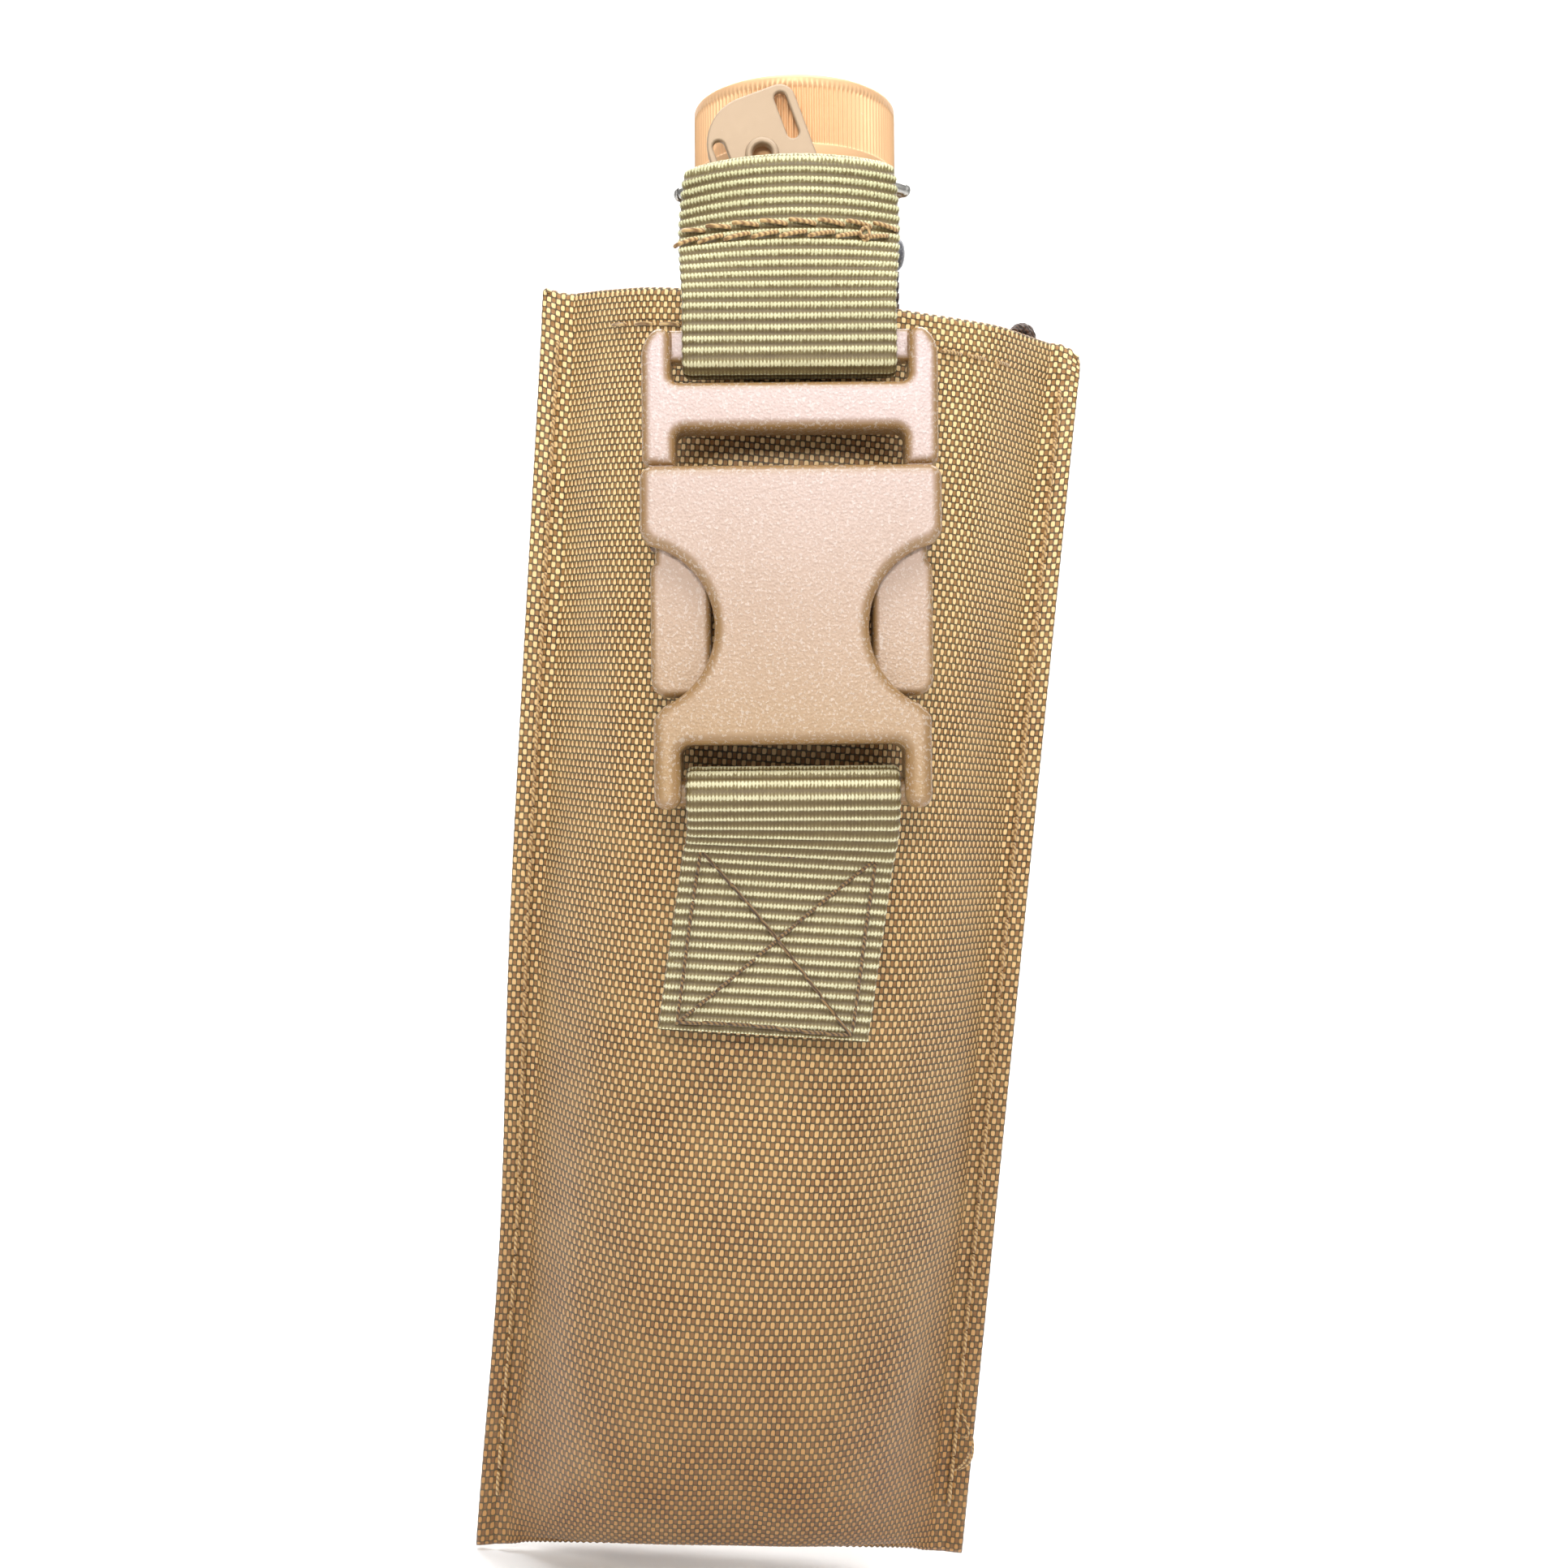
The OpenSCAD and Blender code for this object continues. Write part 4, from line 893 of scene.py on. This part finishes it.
# ---------------------------------------------------------------- the buckle
def arc(x, z, r, start, end, steps=10):
    """Points along an arc, by angle in degrees from the x axis."""
    turn = np.radians(np.linspace(start, end, steps))
    return [(x + r * math.cos(a), z + r * math.sin(a)) for a in turn]


def both_sides(right):
    """A closed outline from its right half, given from the bottom to the top."""
    return right + [(-x, z) for x, z in reversed(right)]


def plate(name, loops, thickness, bevel, steps=5):
    """A flat moulding with rounded edges, from outlines in (x, z), lying about depth 0."""
    curve = bpy.data.curves.new(name, "CURVE")
    curve.dimensions = "2D"
    curve.fill_mode = "BOTH"
    for loop in loops:
        spline = curve.splines.new("POLY")
        spline.points.add(len(loop) - 1)
        for point, (x, z) in zip(spline.points, loop):
            point.co = (x, z, 0, 1)
        spline.use_cyclic_u = True
    curve.extrude = thickness / 2 - bevel
    curve.bevel_depth = bevel
    curve.bevel_resolution = steps
    curve.offset = -bevel
    return to_mesh(linked(name, curve))


def to_mesh(obj):
    """The object with its curve or modifiers turned into plain mesh."""
    bpy.context.view_layer.update()
    made = bpy.data.meshes.new_from_object(obj.evaluated_get(bpy.context.evaluated_depsgraph_get()))
    name = obj.name
    bpy.data.objects.remove(obj)
    made.name = name
    return linked(name, made)


def combined(obj, operation, others):
    for other in others:
        tool = obj.modifiers.new(operation, "BOOLEAN")
        tool.operation = operation
        tool.solver = "EXACT"
        tool.object = other
    made = to_mesh(obj)
    for other in others:
        bpy.data.objects.remove(other)
    return made


def cut(obj, *cutters):
    """Cuts the other objects out of this one."""
    return combined(obj, "DIFFERENCE", cutters)


def joined(obj, *others):
    """Adds the other objects to this one as one watertight piece."""
    return combined(obj, "UNION", others)


def box(low, high):
    """A plain block to cut with, in (x, z, depth)."""
    mesh = bpy.data.meshes.new("block")
    x, y, z = zip(low, high)
    points = [(x[i], y[j], z[k]) for i in (0, 1) for j in (0, 1) for k in (0, 1)]
    faces = [(0, 1, 3, 2), (4, 6, 7, 5), (0, 4, 5, 1), (2, 3, 7, 6), (0, 2, 6, 4), (1, 5, 7, 3)]
    mesh.from_pydata(points, [], faces)
    return linked("block", mesh)


def settle(obj, place, angle=40):
    """Moves a plate into the row frame, in metres, with clean shading."""
    p = coordinates(obj)
    put_coordinates(obj, place(p[:, 0], p[:, 2], p[:, 1]) * MM)
    obj.data.polygons.foreach_set("use_smooth", np.ones(len(obj.data.polygons), bool))
    obj.data.set_sharp_from_angle(angle=math.radians(angle))
    tool = obj.modifiers.new("even_shading", "WEIGHTED_NORMAL")
    tool.keep_sharp = True
    return obj


def on_buckle(x, depth, z):
    return BUCKLE.place(x, HARDWARE + depth, z)


BUCKLE_HALF = 17.7
SOCKET_THICK = 8.8
PLUG_THICK = 5.6
SPLIT_Z = 134.97
WAIST_X, WAIST_Z, WAIST_R = 19.05, 116, 10


def socket():
    ear, slot, top, low = 16.3, 13.15, 102.3, 94.7
    half = [(0, top)]
    half += arc(slot - 1.2, top - 1.2, 1.2, 90, 0, 6)
    half += arc(slot + 1.55, low + 1.55, 1.55, 180, 270, 5)
    half += arc(ear - 1.55, low + 1.55, 1.55, 270, 360, 6)
    lower_turn = 180 + math.degrees(math.acos((WAIST_X - ear) / WAIST_R))
    upper_turn = 180 - math.degrees(math.acos((WAIST_X - BUCKLE_HALF) / WAIST_R))
    half += arc(ear - 1.55, 104.9, 1.55, 0, 40, 4)
    half += arc(WAIST_X, WAIST_Z, WAIST_R, lower_turn - 8, upper_turn + 6, 36)
    half += arc(BUCKLE_HALF - 1.6, 127.6, 1.6, -50, 0, 6)
    half += arc(BUCKLE_HALF - 1.6, SPLIT_Z - 1.6, 1.6, 0, 90, 6)
    half += [(0, SPLIT_Z)]
    body = plate("socket_body", [both_sides(half)], SOCKET_THICK, 1.5)
    body.name = "buckle_socket_moulding"
    body = cut(body, box((-16.9, 106.4, -2.3), (16.9, SPLIT_Z + 3, 2.3)))
    settle(body, on_buckle)
    dress(body, "buckle_plastic", "pouch", ["buckle_socket"])
    bar = Build()
    x = np.linspace(-slot - 0.4, slot + 0.4, 9)
    bar.tube(BUCKLE.place(x, HARDWARE, SOCKET_BAR_Z), SOCKET_BAR_R, 20, ends=False)
    dress(bar.make("buckle_socket_bar"), "buckle_plastic", "pouch", ["buckle_socket"])


def plug():
    half, slot, window = 17.5, 14, 13.5
    outline = [(0, 139.4)]
    outline += arc(window - 1.2, 139.4 - 1.2, 1.2, 90, 0, 6)
    outline += [(window, 135)]
    outline += arc(half - 1.3, 135 + 1.3, 1.3, 270, 360, 5)
    outline += arc(half - 4.2, PLUG_TOP - 4.2, 4.2, 0, 46, 9)
    outline += arc(slot + 1.3, PLUG_TOP - 2.1, 1.3, 48, 180, 9)
    outline += arc(slot - 0.9, 145 + 0.9, 0.9, 0, -90, 6)
    outline += [(0, 145)]
    frame_plate = plate("plug_frame", [both_sides(outline)], PLUG_THICK, 1.25)
    stub_outline = [(12.6, PIVOT_Z), (16.8, PIVOT_Z), (16.8, 136.5), (13.6, 136.5), (13.6, 134.2),
                    (12.6, 133.4)]
    stubs = []
    for side in (-1, 1):
        stub = [(side * x, z) for x, z in stub_outline]
        stubs.append(plate("stub", [stub], 4.4, 0.3, 2))
    bar = plate("bar", [[(-14.3, 147.6), (14.3, 147.6), (14.3, 151.4), (-14.3, 151.4)]], 3.0, 0.8, 3)
    frame_plate = joined(frame_plate, bar, *stubs)
    roots = []
    for side in (-1, 1):
        root = plate("root", [arc(side * ARM_X, PIVOT_Z, 1.85, 0, 350, 36)], 9, 0.01, 1)
        roots.append(root)
    frame_plate = cut(frame_plate, *roots)
    frame_plate.name = "buckle_plug_moulding"
    settle(frame_plate, on_buckle)
    dress(frame_plate, "buckle_plastic", "strap", ["buckle_plug_frame"])


def arm(side, body, node):
    right = arc(ARM_X, PIVOT_Z, 1.8, 222, -42, 18)
    right += [(16.0, 126.2)] + arc(16.65 - 1.6, 124.5 - 1.9, 1.6, 50, 0, 5)
    right += arc(16.65 - 2, 108 + 2, 2, 0, -90, 8) + arc(9.5 + 2, 108 + 2, 2, -90, -180, 8)
    right += arc(9.5 + 2, 124.5 - 2, 2, 180, 90, 8) + [(13.4, 125.0)]
    outline = [(side * x, z) for x, z in right]
    piece = plate(node + "_moulding", [outline if side < 0 else outline[::-1]], 4.4, 0.9)
    settle(piece, on_buckle)
    dress(piece, "buckle_plastic", body, [node])


socket()
plug()
arm(-1, "arm_left", "buckle_arm_left")
arm(1, "arm_right", "buckle_arm_right")


# ---------------------------------------------------------------- the flashlight
def turned(build, profile, columns=160, flutes=0, flute_depth=0.0, flute_rows=(0, 0)):
    """A surface turned about the light's axis from (radius, height) points, with optional flutes."""
    profile = np.asarray(profile, float)
    phi = np.linspace(0, 2 * math.pi, columns, endpoint=False)
    r = np.repeat(profile[:, :1], columns, 1)
    z = profile[:, 1:]
    if flutes:
        share = smooth_step(flute_rows[0], flute_rows[0] + 0.25, z) * (
            1 - smooth_step(flute_rows[1] - 0.25, flute_rows[1], z))
        share = share * (profile[:, :1] > 10)
        r = r - flute_depth * share * (0.5 + 0.5 * np.cos(flutes * phi))[None] ** 0.8
    p = LIGHT.place(r * np.sin(phi), r * np.cos(phi), np.broadcast_to(z, r.shape))
    build.grid(p, pairs(lengths_along(profile), np.linspace(0, 80, columns + 1)), wrap_cols=True)


def rounded_profile(points, r, steps=5):
    """Rounds the corners of a (radius, height) polyline."""
    made = [points[0]]
    for before, here, after in zip(points, points[1:], points[2:]):
        before, here, after = (np.asarray(p, float) for p in (before, here, after))
        a, b = before - here, after - here
        reach = min(r, np.linalg.norm(a) * 0.45, np.linalg.norm(b) * 0.45)
        start, end = here + unit(a) * reach, here + unit(b) * reach
        for t in np.linspace(0, 1, steps):
            made.append(tuple((1 - t) ** 2 * start + 2 * t * (1 - t) * here + t * t * end))
    return made + [points[-1]]


CAP_R = 13.15
CAP_LOW, CAP_TOP = 175.45, 185.6
CAP_FLUTES = 128


def tail_cap():
    low, high = CAP_LOW + 1.5, CAP_TOP - 1.2
    outer = [(9.2, CAP_LOW), (CAP_R, CAP_LOW), (CAP_R, low), (CAP_R - 0.04, low + 0.2)]
    middle = [(CAP_R - 0.04, z) for z in np.linspace(low + 0.25, high - 0.25, 24)]
    top = [(CAP_R - 0.05, high), (CAP_R - 0.02, CAP_TOP), (10.6, CAP_TOP), (10.2, CAP_TOP - 0.35),
           (0.01, CAP_TOP - 0.35)]
    profile = rounded_profile(outer, 0.3) + middle + rounded_profile(top, 0.45)
    build = Build()
    turned(build, profile, CAP_FLUTES * 8, CAP_FLUTES, 0.3, (low, high))
    neck = [(9.2, CAP_LOW), (9.2, 168.6), (8.9, 168.5), (8.9, 167.6), (9.2, 167.5), (9.2, 165.8),
            (8.9, 165.5), (8.2, 165.5), (8.2, CAP_LOW + 1.5), (0.01, CAP_LOW + 1.5)]
    turned(build, [(r - 0.02, z) for r, z in neck], 96)
    dress(build.make("tail_cap_knurled"), "tan_anodised", "tail_cap", ["tail_cap"])


CLIP_Z = 164
CLIP_INNER = 13.2
CLIP_TILT = math.radians(20)


def on_clip(x, depth, z):
    """The clip's own plane: about its pivot, tilted."""
    return LIGHT.place(x * math.cos(CLIP_TILT) - z * math.sin(CLIP_TILT), CLIP_INNER + 0.5 + depth,
                    CLIP_Z + x * math.sin(CLIP_TILT) + z * math.cos(CLIP_TILT))


def slot_hole(x, z, half, reach):
    return arc(x, z + reach, half, 0, 180, 9) + arc(x, z - reach, half, 180, 360, 9)


def belt_clip():
    half, length = 6.35, 19.5
    outline = arc(0, 0, 5.5, 200, 340, 18)
    outline += [(5.6, 1.6), (half, 4.5)]
    outline += arc(half - 2, length - 2, 2, 0, 90, 8) + arc(-half + 6, length - 6, 6, 90, 180, 14)
    outline += [(-half, 4.5), (-5.6, 1.6)]
    holes = [slot_hole(4.5, 15.5, 0.75, 2.25), slot_hole(-4.7, 12.5, 0.75, 2.25),
             arc(0, 12, 1.2, 0, 345, 24), arc(0, 0, 1.55, 0, 345, 24)]
    clip = plate("belt_clip_plate", [outline] + holes, 1.0, 0.25, 3)
    settle(clip, on_clip)
    dress(clip, "clip_taupe", "belt_clip", ["belt_clip"])
    rim = Build()
    turn = np.linspace(0, 2 * math.pi, 33)[:-1]
    profile = rounded_profile([(1.25, 0.1), (1.25, 0.85), (2.05, 0.85), (2.2, 0.1)], 0.35, 4)
    rows = []
    for r, d in profile:
        rows.append(on_clip(r * np.cos(turn), d * np.ones_like(turn), 12 + r * np.sin(turn)))
    rim.grid(np.array(rows), pairs(np.arange(len(profile)), np.linspace(0, 6, 33)), wrap_cols=True)
    dress(rim.make("belt_clip_rim"), "clip_taupe", "belt_clip", ["belt_clip"])


tail_cap()
belt_clip()


# ---------------------------------------------------------------- the other CAD pieces
replaced = {n for o in bpy.data.objects for n in o.get("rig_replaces", [])}
SHARP = {"tail_spring", "driver_spring", "lens_window", "lens_gasket"}
for node, obj in frame["nodes"].items():
    if node in replaced:
        continue
    obj.data.materials.clear()
    obj.data.materials.append(MATERIALS[SLOT_OF[node]])
    if node not in SHARP:
        edge = obj.modifiers.new("soft_edges", "BEVEL")
        edge.width = 0.00018
        edge.segments = 2
        edge.limit_method = "ANGLE"
        edge.angle_limit = math.radians(40)
        edge.harden_normals = True


# ---------------------------------------------------------------- floor, light and camera
def sweep():
    """A pale floor that curves up into a backdrop, clear when seen from behind or below."""
    floor, back, r = SHELL_LOW.z / MM - 1.6, 260, 120
    turn = np.linspace(0, math.pi / 2, 16)
    y = np.concatenate([[-900], back - r + r * np.sin(turn), [back]])
    z = np.concatenate([[floor], floor + r - r * np.cos(turn), [floor + 900]])
    x = np.linspace(-900, 900, 5)
    p = np.stack(np.broadcast_arrays(x[None], y[:, None], z[:, None]), -1)
    build = Build()
    build.grid(p, pairs(np.arange(len(y)), np.arange(5.0)))
    obj = build.make("floor")
    n = Nodes("pale_paper")
    tone = n.mix(n.noise(n.place(), 12.0), srgb(0.97, 0.97, 0.97), srgb(1, 1, 1))
    from_behind = n.node("ShaderNodeNewGeometry", {}, 6)
    solid = n.math("SUBTRACT", 1.0, from_behind)
    obj.data.materials.append(n.finish(Base_Color=tone, Roughness=0.9, Alpha=solid))
    return obj


def lamp(name, place, target, size, power, colour=(1, 1, 1)):
    data = bpy.data.lights.new(name, "AREA")
    data.shape = "RECTANGLE"
    data.size, data.size_y = size
    data.energy = power
    data.color = colour
    obj = linked(name, data)
    obj.location = place
    obj.rotation_euler = (Vector(target) - Vector(place)).to_track_quat("-Z", "Y").to_euler()
    return obj


CAMERA_PLACE = (0.00064, -0.24684, -0.00036)
CAMERA_ROLL = 4.115
camera_data = bpy.data.cameras.new("camera")
camera_data.angle = math.radians(49.5)
camera_data.clip_start = 0.01
camera = linked("camera", camera_data)
camera.location = CAMERA_PLACE
tilt = Matrix.Rotation(math.radians(90), 3, "X") @ Matrix.Rotation(math.radians(CAMERA_ROLL), 3, "Z")
camera.rotation_euler = tilt.to_euler()
bpy.context.scene.camera = camera

flash = lamp("flash", (-0.01, -0.34, 0.13), (0, 0, 0.03), (0.10, 0.06), 0.50, (1, 0.95, 0.88))
sky = lamp("sky", (0, -0.17, 0.30), (0, 0, 0.08), (0.30, 0.10), 0.90, (0.92, 0.96, 1.0))
left = lamp("left", (-0.45, -0.35, 0.35), (0, 0, 0), (0.4, 0.4), 0.5)
right = lamp("right", (0.45, -0.30, 0.25), (0, 0, 0), (0.4, 0.4), 0.4)
top = lamp("top", (0, -0.05, 0.6), (0, 0, 0), (0.5, 0.5), 0.6)
back = lamp("back", (0, 0.20, 0.45), (0, 0.26, 0.0), (0.6, 0.2), 2.6)

world = bpy.data.worlds.new("studio")
bpy.context.scene.world = world
world.use_nodes = True
world.node_tree.nodes["Background"].inputs[0].default_value = (1, 1, 1, 1)
world.node_tree.nodes["Background"].inputs[1].default_value = 0.30
bpy.context.scene.view_settings.view_transform = "Standard"
sweep()
